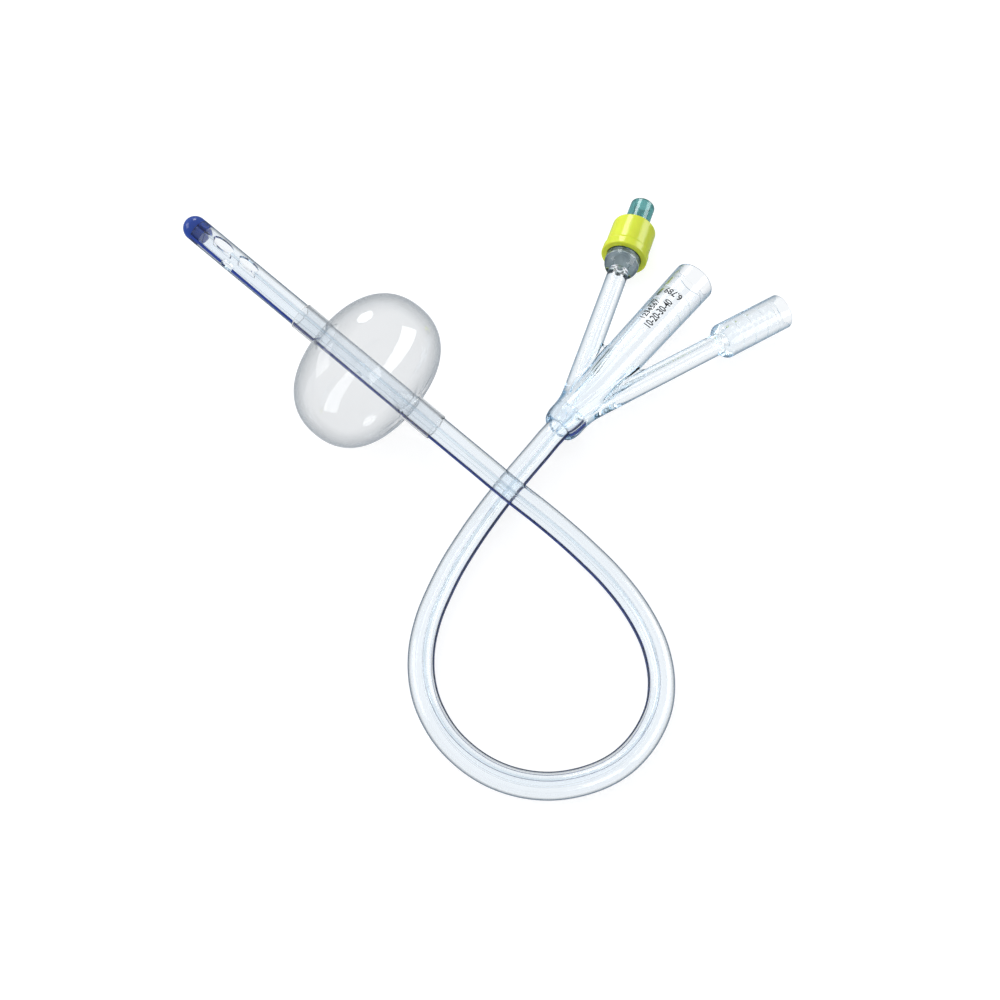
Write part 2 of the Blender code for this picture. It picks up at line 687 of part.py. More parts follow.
def connector_bore():
    """The connector's lead-in, ringed bore and bullet-shaped foot, and the arm's bore below them."""
    lead_in = CONNECTOR_END - CONNECTOR_LEAD_IN
    first = CONNECTOR_RING_FIRST - CONNECTOR_LEAD_IN
    depth = first + CONNECTOR_RING_PITCH * (CONNECTOR_RINGS - 1) + RING_WIDTH
    side = ringed_bore(
        CONNECTOR_BORE_R, CONNECTOR_FOOT_R, lead_in, depth, first, CONNECTOR_RING_PITCH, CONNECTOR_RINGS
    )
    foot = side[-1][1]
    bullet = [
        (
            CONNECTOR_NECK_R + (CONNECTOR_FOOT_R - CONNECTOR_NECK_R) * math.cos(math.radians(a)),
            foot - CONNECTOR_BULLET * math.sin(math.radians(a)),
        )
        for a in (22, 45, 68, 90)
    ]
    start = passage_end(ARM_ANGLE)[0] - CUT_MARGIN
    top = CONNECTOR_END + CUT_MARGIN
    return [
        (0.0, top),
        (CONNECTOR_MOUTH_R, top),
        (CONNECTOR_MOUTH_R, CONNECTOR_END),
        *side,
        *bullet,
        (CONNECTOR_NECK_R, IRRIGATION_ARM),
        (IRRIGATION_BORE_R, IRRIGATION_ARM - CUT_MARGIN),
        (IRRIGATION_BORE_R, start),
        (0.0, start),
    ]


def inflation_body():
    """The inflation arm and the bulb-shaped socket that holds the valve."""
    shoulder = [
        (
            ARM_OD / 2 + (SOCKET_R - ARM_OD / 2) * math.sin(math.radians(a)),
            INFLATION_ARM + SOCKET_SHOULDER * (1 - math.cos(math.radians(a))),
        )
        for a in range(0, 91, 15)
    ]
    return [
        (0.0, SHAFT_R),
        (ARM_OD / 2, SHAFT_R),
        *shoulder,
        (SOCKET_R, SOCKET_RIM),
        (0.0, SOCKET_RIM),
    ]


def inflation_bore():
    """The valve socket, the hole for the valve's spigot and the arm's bore below it."""
    socket = BARREL_R + BOND_GAP
    spigot = SPIGOT_R + BOND_GAP
    start = passage_end(-ARM_ANGLE)[0] - CUT_MARGIN
    top = SOCKET_RIM + CUT_MARGIN
    return [
        (0.0, top),
        (socket, top),
        (socket, SOCKET_FLOOR),
        (spigot, SOCKET_FLOOR),
        (spigot, SPIGOT_END - BOND_GAP),
        (INFLATION_BORE_R, SPIGOT_END - BOND_GAP),
        (INFLATION_BORE_R, start),
        (0.0, start),
    ]


def shaft_end_y():
    """How far above the junction the shaft's end stands in its socket."""
    return ROUTE_FROM_MOULDING[0][1] * MM


def passage_end(angle):
    """Where a side passage meets its arm's axis: its distance along the arm and its place in the
    funnel's frame."""
    reach = (shaft_end_y() + PASSAGE_LENGTH) / math.cos(math.radians(angle))
    turn = math.radians(angle)
    return reach, Vector((reach * math.sin(turn), 0.0, reach * math.cos(turn)))


def socket_bore(shaft):
    """The hole that holds the shaft's flared end."""
    end = shaft_end_y()
    side = []
    for k in range(FLARE_STEPS + 1):
        distance = FLARE_LENGTH * k / FLARE_STEPS
        side.append((SHAFT_R * shaft.growth(distance) + BOND_GAP, end - distance))
    low = -SOCKET_MOUTH - CUT_MARGIN
    radius = SHAFT_R + BOND_GAP
    return [(0.0, end + BOND_GAP), (side[0][0], end + BOND_GAP), *side, (radius, low), (0.0, low)]


def passage(name, points, radii, frame):
    """A tapered channel through a few points, each with its own radius, in the funnel's frame."""
    bm = bmesh.new()
    rings = []
    for k, (point, radius) in enumerate(zip(points, radii)):
        before, after = points[max(k - 1, 0)], points[min(k + 1, len(points) - 1)]
        turn = (after - before).to_track_quat("Z", "Y").to_matrix().to_4x4()
        made = bmesh.ops.create_circle(
            bm, segments=12, radius=radius, matrix=Matrix.Translation(point) @ turn
        )
        rings.append(made["verts"])
    for near, far in zip(rings, rings[1:]):
        for k in range(len(near)):
            bm.faces.new((near[k - 1], near[k], far[k], far[k - 1]))
    bm.faces.new(rings[0])
    bm.faces.new(rings[-1])
    channel = add_object(name, bm)
    channel.matrix_world = frame
    return channel


def web(name, side, frame):
    """The flat web in the fork between the drainage funnel and one side arm."""
    turn = math.radians(ARM_ANGLE)
    foot = FUNNEL_BASE_Y + FUNNEL_BASE_R
    end = foot + WEB_LENGTH
    corners = [
        (0.0, foot),
        (side * foot * math.tan(turn), foot),
        (side * end * math.tan(turn), end),
        (0.0, end),
    ]
    bm = bmesh.new()
    face = bm.faces.new([bm.verts.new((x, -WEB_THICKNESS / 2, z)) for x, z in corners])
    grown = bmesh.ops.extrude_face_region(bm, geom=[face])["geom"]
    moved = [v for v in grown if isinstance(v, bmesh.types.BMVert)]
    bmesh.ops.translate(bm, verts=moved, vec=(0.0, WEB_THICKNESS, 0.0))
    plate = add_object(name, bm)
    plate.matrix_world = frame
    return plate


def make_funnel_moulding(shaft, material):
    """One moulding: the drainage funnel with both side arms and their webs, hollow throughout."""
    main, right, left = arm_frame(0.0), arm_frame(ARM_ANGLE), arm_frame(-ARM_ANGLE)
    moulding = turned("funnel_moulding", drainage_body(), 24, material)
    moulding.matrix_world = main
    for name, outline, frame in (
        ("irrigation_arm", connector_body(), right),
        ("inflation_arm", inflation_body(), left),
    ):
        arm = turned(name, outline, 20)
        arm.matrix_world = frame
        boolean(moulding, "UNION", arm)
    boolean(moulding, "UNION", web("irrigation_web", 1, main))
    boolean(moulding, "UNION", web("inflation_web", -1, main))
    for name, outline, frame in (
        ("socket_bore", socket_bore(shaft), main),
        ("drainage_bore", drainage_bore(), main),
        ("irrigation_bore", connector_bore(), right),
        ("inflation_bore", inflation_bore(), left),
    ):
        cutter = turned(name, outline, 20)
        cutter.matrix_world = frame
        boolean(moulding, "DIFFERENCE", cutter)
    grown = shaft.growth(0.0)
    start = shaft_end_y() - CUT_MARGIN
    throat = Vector((0.0, 0.0, FUNNEL_LENGTH - FUNNEL_BORE_LENGTH + CUT_MARGIN))
    drain_in = Vector((-grown * (LUMEN_R - DRAINAGE_PASSAGE_R), 0.0, start))
    rinse_in = Vector((grown * (LUMEN_R - IRRIGATION_PASSAGE_R), 0.0, start))
    fill_side = SEPTUM_OFFSET * grown
    fill_low = (LUMEN_R - INFLATION_LUMEN_INSET) * grown
    fill_in = Vector((fill_side, fill_low, start))
    fill_end = passage_end(-ARM_ANGLE)[1]
    fill_bend = Vector((fill_end.x * 0.6, fill_low * 0.9, start + PASSAGE_LENGTH * 0.6))
    channels = (
        ("drainage_passage", (drain_in, throat), (DRAINAGE_PASSAGE_R, FUNNEL_THROAT_R)),
        ("irrigation_passage", (rinse_in, passage_end(ARM_ANGLE)[1]), (IRRIGATION_PASSAGE_R,) * 2),
        ("inflation_passage", (fill_in, fill_bend, fill_end), (INFLATION_PASSAGE_R,) * 3),
    )
    for name, points, radii in channels:
        boolean(moulding, "DIFFERENCE", passage(name, points, radii, main))
    return moulding


def make_valve(shaft, finishes):
    """The check valve, built along its own axis: body, base, collar, and the sprung stem with its seal."""
    axis = bpy.data.objects.new("valve_axis", None)
    bpy.context.scene.collection.objects.link(axis)
    axis.matrix_world = arm_frame(-ARM_ANGLE)
    luer_foot = LUER_MOUTH_R - LUER_TAPER * LUER_DEPTH
    body = [
        (LUER_MOUTH_R, INLET_END),
        (INLET_R - RIM_EDGE, INLET_END),
        (INLET_R, INLET_END - RIM_EDGE),
        (INLET_R, BODY_FLANGE_TOP),
        (BODY_FLANGE_R, BODY_FLANGE_TOP),
        (BODY_FLANGE_R, BODY_FLANGE_LOW),
        (BARREL_R, BODY_FLANGE_LOW),
        (BARREL_R, BARREL_END),
        (CHAMBER_R, BARREL_END),
        (CHAMBER_R, SEAT_LOW),
        (SEAT_HOLE_R, SEAT_LOW),
        (SEAT_HOLE_R, SEAT_TOP),
        (luer_foot, SEAT_TOP),
    ]
    turned("valve_body", body, 24, finishes["teal"], axis)
    plug = CHAMBER_R - BOND_GAP
    base = [
        (SPIGOT_BORE_R, BASE_TOP),
        (plug, BASE_TOP),
        (plug, BARREL_END - BOND_GAP),
        (BARREL_R, BARREL_END - BOND_GAP),
        (BARREL_R, BASE_LOW),
        (SPIGOT_R, BASE_LOW),
        (SPIGOT_R, SPIGOT_END),
        (SPIGOT_BORE_R, SPIGOT_END),
    ]
    turned("valve_base", base, 20, finishes["grey_teal"], axis)
    under_crown = COLLAR_END - COLLAR_CROWN
    flange_top = COLLAR_START + FLANGE_LENGTH
    collar = [
        (COLLAR_BORE_R, COLLAR_START),
        (FLANGE_R, COLLAR_START),
        (FLANGE_R, flange_top - FLANGE_CHAMFER),
        (COLLAR_R, flange_top),
        *arc((COLLAR_R - COLLAR_EDGE, COLLAR_END - COLLAR_EDGE), COLLAR_EDGE, 0, 90, 3),
        (INLET_R + BOND_GAP, COLLAR_END),
        (INLET_R + BOND_GAP, under_crown),
        (COLLAR_BORE_R, under_crown),
    ]
    turned("valve_collar", collar, 28, finishes["lime"], axis)
    stem = [
        (0.0, SEAT_TOP + STEM_PIN_REACH),
        (STEM_PIN_R, SEAT_TOP + STEM_PIN_REACH),
        (STEM_PIN_R, STEM_DISC_TOP),
        (STEM_DISC_R, STEM_DISC_TOP),
        (STEM_DISC_R, STEM_DISC_LOW),
        (STEM_PIN_R, STEM_DISC_LOW),
        (STEM_PIN_R, STEM_DISC_LOW - STEM_TAIL),
        (0.0, STEM_DISC_LOW - STEM_TAIL),
    ]
    turned("valve_stem", stem, 14, finishes["white"], axis)
    seal = [
        (STEM_PIN_R + BOND_GAP, STEM_DISC_TOP + BOND_GAP),
        (SEAL_R, STEM_DISC_TOP + BOND_GAP),
        (SEAL_R, SEAT_LOW - RUNNING_GAP),
        (STEM_PIN_R + BOND_GAP, SEAT_LOW - RUNNING_GAP),
    ]
    turned("valve_seal", seal, 18, finishes["rubber"], axis)
    make_spring(finishes["steel"], axis)


def make_spring(material, parent):
    """The compression spring between the valve's base and the stem's disc, its ends wound flat."""
    wire = SPRING_WIRE_D / 2
    low = BASE_TOP + wire + BOND_GAP
    high = STEM_DISC_LOW - wire - BOND_GAP
    per_turn, sides = 12, 5
    count = SPRING_TURNS * per_turn
    bm = bmesh.new()
    rings = []
    for k in range(count + 1):
        turn = math.tau * k / per_turn
        share = min(max((k / per_turn - 0.8) / (SPRING_TURNS - 1.6), 0.0), 1.0)
        ends = (k / count - share) * SPRING_WIRE_D
        centre = Vector(
            (SPRING_MEAN_R * math.cos(turn), SPRING_MEAN_R * math.sin(turn), low + (high - low) * share)
        )
        outward = Vector((math.cos(turn), math.sin(turn), 0.0))
        ring = []
        for j in range(sides):
            around = math.tau * j / sides
            offset = outward * (wire * math.cos(around)) + Vector((0, 0, wire * math.sin(around)))
            ring.append(bm.verts.new(centre + offset + Vector((0, 0, ends))))
        rings.append(ring)
    for near, far in zip(rings, rings[1:]):
        for k in range(sides):
            bm.faces.new((near[k - 1], near[k], far[k], far[k - 1]))
    bm.faces.new(rings[0])
    bm.faces.new(rings[-1])
    return add_object("valve_spring", bm, material, parent)


def main():
    clear_scene()
    finishes = {
        "silicone": finish("clear_silicone", "#F3F7FA", 0.12, see_through=0.95),
        "balloon": finish("clear_balloon_silicone", "#F4F6F9", 0.08, see_through=0.95),
        "stripe": finish("navy_radiopaque_silicone", "#20387F", 0.35),
        "tip": finish("blue_silicone", "#2440A0", 0.25),
        "lime": finish("lime_polypropylene", "#D8E22E", 0.38),
        "teal": finish("teal_polycarbonate", "#4F9C9C", 0.15, see_through=0.35),
        "grey_teal": finish("grey_teal_polycarbonate", "#7F9AA0", 0.2, see_through=0.3),
        "white": finish("white_acetal", "#E9ECEE", 0.4),
        "rubber": finish("black_seal_rubber", "#2B2E31", 0.6),
        "steel": finish("spring_steel", "#B9BDC1", 0.3, metallic=1.0),
    }
    shaft = Shaft()
    make_shaft(shaft, finishes["silicone"])
    make_stripe(shaft, finishes["stripe"])
    make_tip(shaft, finishes["tip"])
    make_balloon(shaft, finishes["balloon"])
    make_funnel_moulding(shaft, finishes["silicone"])
    make_valve(shaft, finishes)


main()
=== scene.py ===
"""Three-way silicone urinary catheter: the finished look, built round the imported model.

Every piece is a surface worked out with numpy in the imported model's own frame: metres, +Z up, floor at
Z = 0, +Y along the drainage funnel. "along" is a distance along an arm from the point where the three
arms meet, and a distance on the shaft is measured from its end in the moulding.
"""

import math

import bmesh
import bpy
import numpy as np
from bpy.props import FloatProperty, FloatVectorProperty, IntProperty, PointerProperty, StringProperty
from mathutils import Matrix, Vector
from mathutils.geometry import tessellate_polygon


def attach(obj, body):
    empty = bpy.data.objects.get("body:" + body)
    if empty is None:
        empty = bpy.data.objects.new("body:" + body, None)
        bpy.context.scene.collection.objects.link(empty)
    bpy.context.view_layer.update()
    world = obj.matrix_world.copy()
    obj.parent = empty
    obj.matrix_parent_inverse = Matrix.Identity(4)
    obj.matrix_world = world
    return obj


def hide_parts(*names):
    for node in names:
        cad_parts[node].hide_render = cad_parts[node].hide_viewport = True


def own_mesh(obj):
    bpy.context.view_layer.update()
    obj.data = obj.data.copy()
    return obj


bl_info = {
    "name": "Urinary catheter look",
    "version": (1, 0, 0),
    "blender": (4, 5, 0),
    "location": "View3D > Sidebar > Catheter",
    "description": "Builds the finished look of a three-way silicone catheter round its packed model",
    "category": "Object",
}

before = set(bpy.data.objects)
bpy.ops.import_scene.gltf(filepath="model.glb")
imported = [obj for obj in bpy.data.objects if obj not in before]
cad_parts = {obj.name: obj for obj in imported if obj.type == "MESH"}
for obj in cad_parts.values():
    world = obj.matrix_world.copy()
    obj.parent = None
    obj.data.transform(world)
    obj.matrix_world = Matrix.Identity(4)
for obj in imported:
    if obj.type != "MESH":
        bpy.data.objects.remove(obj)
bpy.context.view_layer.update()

MM = 0.001
CATHETER = "catheter"
STEM = "valve_stem"
ARM_ANGLE = math.radians(20.2)
JUNCTION = np.array((16.12, 5.11, 6.2)) * MM
UP = np.array((0.0, 0.0, 1.0))
WHITE = (1.0, 1.0, 1.0, 1.0)

# The shaft's centre line in metres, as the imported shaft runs, from the moulding to the tip
ROUTE = np.array(
    (
        (0.01612, 0.00911, 0.0062),
        (0.01612, 0.00511, 0.0062),
        (0.01612, 0.00171, 0.0062),
        (0.01612, -0.00049, 0.006152),
        (0.01612, -0.00409, 0.005592),
        (0.01592, -0.00889, 0.004504),
        (0.01577, -0.01469, 0.003288),
        (0.01602, -0.01989, 0.003),
        (0.01652, -0.02509, 0.003),
        (0.01732, -0.03139, 0.003),
        (0.01882, -0.03979, 0.003),
        (0.02102, -0.04769, 0.003),
        (0.02332, -0.05379, 0.003),
        (0.02672, -0.05979, 0.003),
        (0.03132, -0.06499, 0.003),
        (0.03712, -0.06899, 0.003),
        (0.04472, -0.07159, 0.003),
        (0.05312, -0.07189, 0.003),
        (0.06082, -0.06989, 0.003),
        (0.06772, -0.06569, 0.003),
        (0.07312, -0.05959, 0.003),
        (0.07642, -0.05279, 0.003),
        (0.07732, -0.04539, 0.003),
        (0.07592, -0.03779, 0.003),
        (0.07242, -0.03159, 0.003),
        (0.06742, -0.02669, 0.003099),
        (0.06202, -0.02339, 0.003297),
        (0.05552, -0.02079, 0.003693),
        (0.04832, -0.01909, 0.0044025),
        (0.04172, -0.01829, 0.0051945),
        (0.03552, -0.01789, 0.0061515),
        (0.02812, -0.01784, 0.0075045),
        (0.01892, -0.01823, 0.009501),
        (0.00922, -0.0184, 0.011745),
        (-0.00388, -0.01864, 0.0147645),
        (-0.02408, -0.019, 0.0194175),
        (-0.04478, -0.01938, 0.0242025),
        (-0.06388, -0.01972, 0.028608),
        (-0.07638, -0.01995, 0.0314955),
    )
)

# Shaft, as it is extruded and punched. An eye or port is its distance from the tip, its length and its
# width, and a drainage eye has its angle above the stripe's side as well.
LUMEN_R = 2.35 * MM
SEPTUM = 0.35 * MM
SEPTUM_OFFSET = 0.55 * MM
LUMEN_FILLET = 0.42 * MM
FLARE_LENGTH = 5.4 * MM
FLARE_GROWTH = 0.2
STRIPE_ANGLE = -6.0
STRIPE_TURN = 27.0
CROSSING_FROM_TIP = 97.0 * MM
STATION_PITCH = 0.6 * MM
DRAINAGE_EYES = ((7.9 * MM, 5.8 * MM, 2.5 * MM, 96.0), (15.6 * MM, 5.6 * MM, 2.3 * MM, 101.0))
IRRIGATION_EYE = (11.4 * MM, 3.4 * MM, 2.2 * MM)
INFLATION_PORT = (52.0 * MM, 1.4 * MM, 0.9 * MM)
FILL_HEIGHT = 0.1 * MM - LUMEN_R
FILL_R = 0.25 * MM
BALLOON_FROM_TIP = 53.7 * MM

# Funnel moulding: its outer radius grows evenly from the base to the rim
FUNNEL_BASE = 7.0 * MM
FUNNEL_BASE_R = 4.65 * MM
FUNNEL_RIM = 56.35 * MM
FUNNEL_RIM_R = 5.6 * MM
FUNNEL_SLOPE = (FUNNEL_RIM_R - FUNNEL_BASE_R) / (FUNNEL_RIM - FUNNEL_BASE)
FORK_END = 28.4 * MM
MOULDING_LOW = -1.6 * MM
SPRING_SEAT = 55.7 * MM
SPRING_TOP = 62.7 * MM

# Turned pieces have edges from this angle in degrees up
TURNED_EDGE = 60


def channel(value):
    """One sRGB channel from 0 to 1 as linear light."""
    return value / 12.92 if value <= 0.04045 else ((value + 0.055) / 1.055) ** 2.4


def srgb(colour):
    """An sRGB hex colour as three linear channels."""
    return tuple(channel(int(colour[k : k + 2], 16) / 255) for k in (1, 3, 5))


def opaque(colour):
    """A linear colour with full cover, as a shader's socket takes it."""
    return (*tuple(colour)[:3], 1.0)


# Settings


class ShaftSettings(bpy.types.PropertyGroup):
    """The extruded shaft, its stripe and its tip."""

    diameter: FloatProperty(
        name="Diameter", description="Outer diameter of the shaft", default=6.0 * MM, unit="LENGTH"
    )
    stripe_width: FloatProperty(
        name="Stripe width", description="Width of the radiopaque stripe", default=0.92 * MM, unit="LENGTH"
    )
    silicone: FloatVectorProperty(
        name="Silicone",
        description="Colour of light that has gone through the clear silicone",
        default=srgb("#FAFCFE"),
        subtype="COLOR",
    )
    stripe: FloatVectorProperty(
        name="Stripe", description="Colour of the radiopaque stripe", default=srgb("#1E3A90"), subtype="COLOR"
    )
    tip: FloatVectorProperty(
        name="Tip", description="Colour of the closed tip", default=srgb("#223F8E"), subtype="COLOR"
    )


class BalloonSettings(bpy.types.PropertyGroup):
    """The filled retention balloon."""

    diameter: FloatProperty(
        name="Diameter", description="Diameter across the shaft when filled", default=39.0 * MM, unit="LENGTH"
    )
    length: FloatProperty(
        name="Length", description="Length along the shaft when filled", default=26.7 * MM, unit="LENGTH"
    )
    wall: FloatProperty(
        name="Wall", description="Thickness of the stretched sleeve", default=0.28 * MM, unit="LENGTH"
    )
    pleats: IntProperty(name="Pleats", description="Gathers at the funnel-side neck", default=7)


class MouldingSettings(bpy.types.PropertyGroup):
    """The funnel moulding with its three arms, and the print on it."""

    funnel_length: FloatProperty(
        name="Funnel length", description="From fork to drainage rim", default=56.6 * MM, unit="LENGTH"
    )
    connector_end: FloatProperty(
        name="Connector end", description="From fork to irrigation rim", default=66.8 * MM, unit="LENGTH"
    )
    arm_diameter: FloatProperty(
        name="Arm diameter", description="Outer diameter of each side arm", default=5.45 * MM, unit="LENGTH"
    )
    fillet: FloatProperty(
        name="Fillet", description="How far the forks are rounded", default=1.2 * MM, unit="LENGTH"
    )
    figures: StringProperty(
        name="Figures", description="Plain figures printed along the drainage funnel", default="10-20-30-40"
    )
    ink: FloatVectorProperty(
        name="Ink", description="Colour of the printed figures", default=srgb("#141518"), subtype="COLOR"
    )


class ValveSettings(bpy.types.PropertyGroup):
    """The check valve on the inflation arm."""

    collar: FloatVectorProperty(
        name="Collar", description="Colour of the valve's collar", default=srgb("#E0EA38"), subtype="COLOR"
    )
    body: FloatVectorProperty(
        name="Body", description="Colour of the valve's body", default=srgb("#62ABAA"), subtype="COLOR"
    )
    base: FloatVectorProperty(
        name="Base", description="Colour of the valve's base", default=srgb("#CFDDE0"), subtype="COLOR"
    )


class StageSettings(bpy.types.PropertyGroup):
    """The floor, the lamps and the camera."""

    lamp_brightness: FloatProperty(
        name="Lamp brightness", description="How bright each lamp's face is, where 1 is white", default=4.6
    )
    surround: FloatVectorProperty(
        name="Surround",
        description="Colour of the studio's far walls, which edges the clear silicone",
        default=srgb("#B4C0CC"),
        subtype="COLOR",
    )


# Meshes


def mesh_of(name, points, quads, triangles=()):
    """A mesh from an array of points and arrays of point numbers, four or three to a face."""
    corners = np.concatenate([np.ravel(quads), np.ravel(triangles)]).astype(np.int32)
    sizes = np.concatenate([np.full(len(quads), 4), np.full(len(triangles), 3)]).astype(np.int32)
    mesh = bpy.data.meshes.new(name)
    mesh.vertices.add(len(points))
    mesh.vertices.foreach_set("co", np.ravel(points).astype(np.float32))
    mesh.loops.add(len(corners))
    mesh.loops.foreach_set("vertex_index", corners)
    mesh.polygons.add(len(sizes))
    mesh.polygons.foreach_set("loop_start", (np.cumsum(sizes) - sizes).astype(np.int32))
    mesh.update(calc_edges=True)
    return mesh


def grid_quads(rows, columns, closed_rows=False, first=0):
    """Quads of a grid whose columns close into rings. Its rows close too where closed_rows is set."""
    i = np.arange(rows if closed_rows else rows - 1)[:, None]
    j = np.arange(columns)[None, :]
    low, high = i * columns, ((i + 1) % rows) * columns
    after = (j + 1) % columns
    quads = np.stack([low + j, low + after, high + after, high + j], axis=-1)
    return quads.reshape(-1, 4) + first


def welded(mesh, reach=1e-7):
    """The mesh with its poles and seams joined, flat faces dropped and all faces pointing outwards."""
    bm = bmesh.new()
    bm.from_mesh(mesh)
    bmesh.ops.remove_doubles(bm, verts=bm.verts, dist=reach)
    bmesh.ops.dissolve_degenerate(bm, edges=bm.edges, dist=reach)
    bmesh.ops.recalc_face_normals(bm, faces=bm.faces)
    bm.to_mesh(mesh)
    bm.free()
    return mesh


def smooth_piece(obj, sharp_from=38.0):
    """Smooth faces, with an edge where two of them meet at this angle in degrees or more."""
    obj.data.shade_smooth()
    obj.data.set_sharp_from_angle(angle=math.radians(sharp_from))
    return obj


def placed(name, mesh):
    """An object for a mesh that already lies in its place."""
    obj = bpy.data.objects.new(name, mesh)
    bpy.context.scene.collection.objects.link(obj)
    return obj


def dress(obj, material, body, nodes):
    """Gives a piece its material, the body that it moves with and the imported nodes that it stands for."""
    obj.data.materials.clear()
    obj.data.materials.append(material)
    obj.data.polygons.foreach_set("material_index", np.zeros(len(obj.data.polygons), np.int32))
    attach(obj, body)
    if nodes:
        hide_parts(*nodes)
    return obj


def settled(obj):
    """Applies the object's modifiers, so that its mesh is what is seen."""
    graph = bpy.context.evaluated_depsgraph_get()
    mesh = bpy.data.meshes.new_from_object(obj.evaluated_get(graph))
    obj.modifiers.clear()
    obj.data = mesh
    return obj


def combined(obj, operation, others):
    """One exact Boolean with all of the others at once, which are removed afterwards. The faces that they
    cut keep the number 1, by which bore_marked knows them."""
    operands = bpy.data.collections.new("operands")
    bpy.context.scene.collection.children.link(operands)
    for other in others:
        bpy.context.scene.collection.objects.unlink(other)
        operands.objects.link(other)
    for part in (obj, *others):
        while len(part.data.materials) < 2:
            part.data.materials.append(None)
    if operation == "DIFFERENCE":
        for other in others:
            other.data.polygons.foreach_set("material_index", np.ones(len(other.data.polygons), np.int32))
    step = obj.modifiers.new("cut", "BOOLEAN")
    step.operation = operation
    step.solver = "EXACT"
    step.operand_type = "COLLECTION"
    step.collection = operands
    settled(obj)
    for other in others:
        bpy.data.objects.remove(other, do_unlink=True)
    bpy.data.collections.remove(operands)
    return obj


def bore_marked(obj):
    """Keeps which faces are inside a bore, those numbered 1, as an attribute that the material reads."""
    mesh = obj.data
    number = np.empty(len(mesh.polygons), np.int32)
    mesh.polygons.foreach_get("material_index", number)
    mesh.attributes.new("bore", "FLOAT", "FACE").data.foreach_set("value", (number > 0).astype(np.float32))
    mesh.polygons.foreach_set("material_index", np.zeros_like(number))
    return obj


# Turned shapes


def rounded(outline, steps=5):
    """A closed outline of (radius, along, the corner's own radius), with each corner turned into an arc
    that touches both sides. Each side keeps a point just past the arc, so that flat faces stay flat in
    the light."""
    corners, made = outline[:, :2], []
    for k, (corner, wanted) in enumerate(zip(corners, outline[:, 2])):
        before, after = corners[k - 1] - corner, corners[(k + 1) % len(corners)] - corner
        lengths = np.linalg.norm(before), np.linalg.norm(after)
        before, after = before / lengths[0], after / lengths[1]
        half = 0.5 * math.acos(float(np.clip(before @ after, -1.0, 1.0)))
        if half > 1.5:
            made.append(corner)
            continue
        reach = min(wanted / math.tan(half), 0.4 * lengths[0], 0.4 * lengths[1])
        bend = reach * math.tan(half)
        centre = corner + (before + after) / np.linalg.norm(before + after) * bend / math.sin(half)
        start, end = corner + before * reach - centre, corner + after * reach - centre
        sweep = math.pi - 2 * half
        share = np.linspace(0.0, 1.0, steps + 1)[:, None]
        arc = (np.sin((1 - share) * sweep) * start + np.sin(share * sweep) * end) / math.sin(sweep)
        support = 0.12 * reach
        made.append(corner + before * (reach + support))
        made.extend(centre + arc)
        made.append(corner + after * (reach + support))
    return np.array(made)


def arm_axes(angle):
    """Unit vectors along an arm that leaves the fork at an angle from +Y, and across it, both level."""
    along = np.array((math.sin(angle), math.cos(angle), 0.0))
    across = np.array((math.cos(angle), -math.sin(angle), 0.0))
    return along, across


def turned_points(outline, angles, axes, origin):
    """(radius, along) points turned about an arm's axis: origin + along * axis + radius * (cos a * across
    + sin a * up), for all rows and angles at once."""
    along, across = axes
    radius, distance = outline[:, 0][:, None, None], outline[:, 1][:, None, None]
    ring = np.cos(angles)[:, None] * across + np.sin(angles)[:, None] * UP
    return origin + distance * along + radius * ring[None]


def turned(name, outline, angle=0.0, sides=96, closed=True):
    """A solid of revolution about an arm. A closed outline makes a ring, and an open one ends on the
    axis at both ends."""
    outline = np.asarray(outline, float)
    angles = np.linspace(0.0, math.tau, sides, endpoint=False)
    points = turned_points(outline, angles, arm_axes(angle), JUNCTION)
    quads = grid_quads(len(outline), sides, closed_rows=closed)
    return placed(name, welded(mesh_of(name, points.reshape(-1, 3), quads)))


# Shaft


def route_line():
    """Closely spaced points on a smooth curve through the route: between two points it is a cubic whose
    slope at each is half the chord between that point's neighbours."""
    ends = np.vstack([2 * ROUTE[0] - ROUTE[1], ROUTE, 2 * ROUTE[-1] - ROUTE[-2]])
    a, b, c, d = (ends[k : k + len(ROUTE) - 1, None, :] for k in range(4))
    t = np.linspace(0.0, 1.0, 24, endpoint=False)[None, :, None]
    curve = 0.5 * (
        2 * b + (c - a) * t + (2 * a - 5 * b + 4 * c - d) * t**2 + (3 * b - 3 * c + d - a) * t**3
    )
    return np.vstack([curve.reshape(-1, 3), ROUTE[-1]])


LINE = route_line()
REACH = np.concatenate([[0.0], np.cumsum(np.linalg.norm(np.diff(LINE, axis=0), axis=1))])
SHAFT_LENGTH = float(REACH[-1])


def on_shaft(distances):
    """Points of the centre line at these distances along it, straight between its close points."""
    return np.stack([np.interp(distances, REACH, LINE[:, k]) for k in range(3)], axis=-1)


def shaft_frames(distances):
    """Point, direction of travel, level side and up at each distance, square to each other."""
    step = 0.4 * MM
    travel = on_shaft(np.minimum(distances + step, SHAFT_LENGTH))
    travel = travel - on_shaft(np.maximum(distances - step, 0.0))
    travel /= np.linalg.norm(travel, axis=-1, keepdims=True)
    side = np.cross(UP, travel)
    side /= np.linalg.norm(side, axis=-1, keepdims=True)
    return on_shaft(distances), travel, side, np.cross(travel, side)


def shaft_axes(distance):
    """Point, direction of travel, level side and up at one distance."""
    return tuple(v[0] for v in shaft_frames(np.array([distance])))


def shaft_turn(distances):
    """How far the section is turned from the side towards up: it winds evenly from the crossing on."""
    share = np.clip((distances - SHAFT_LENGTH + CROSSING_FROM_TIP) / CROSSING_FROM_TIP, 0.0, 1.0)
    return np.radians(STRIPE_ANGLE + STRIPE_TURN * share)


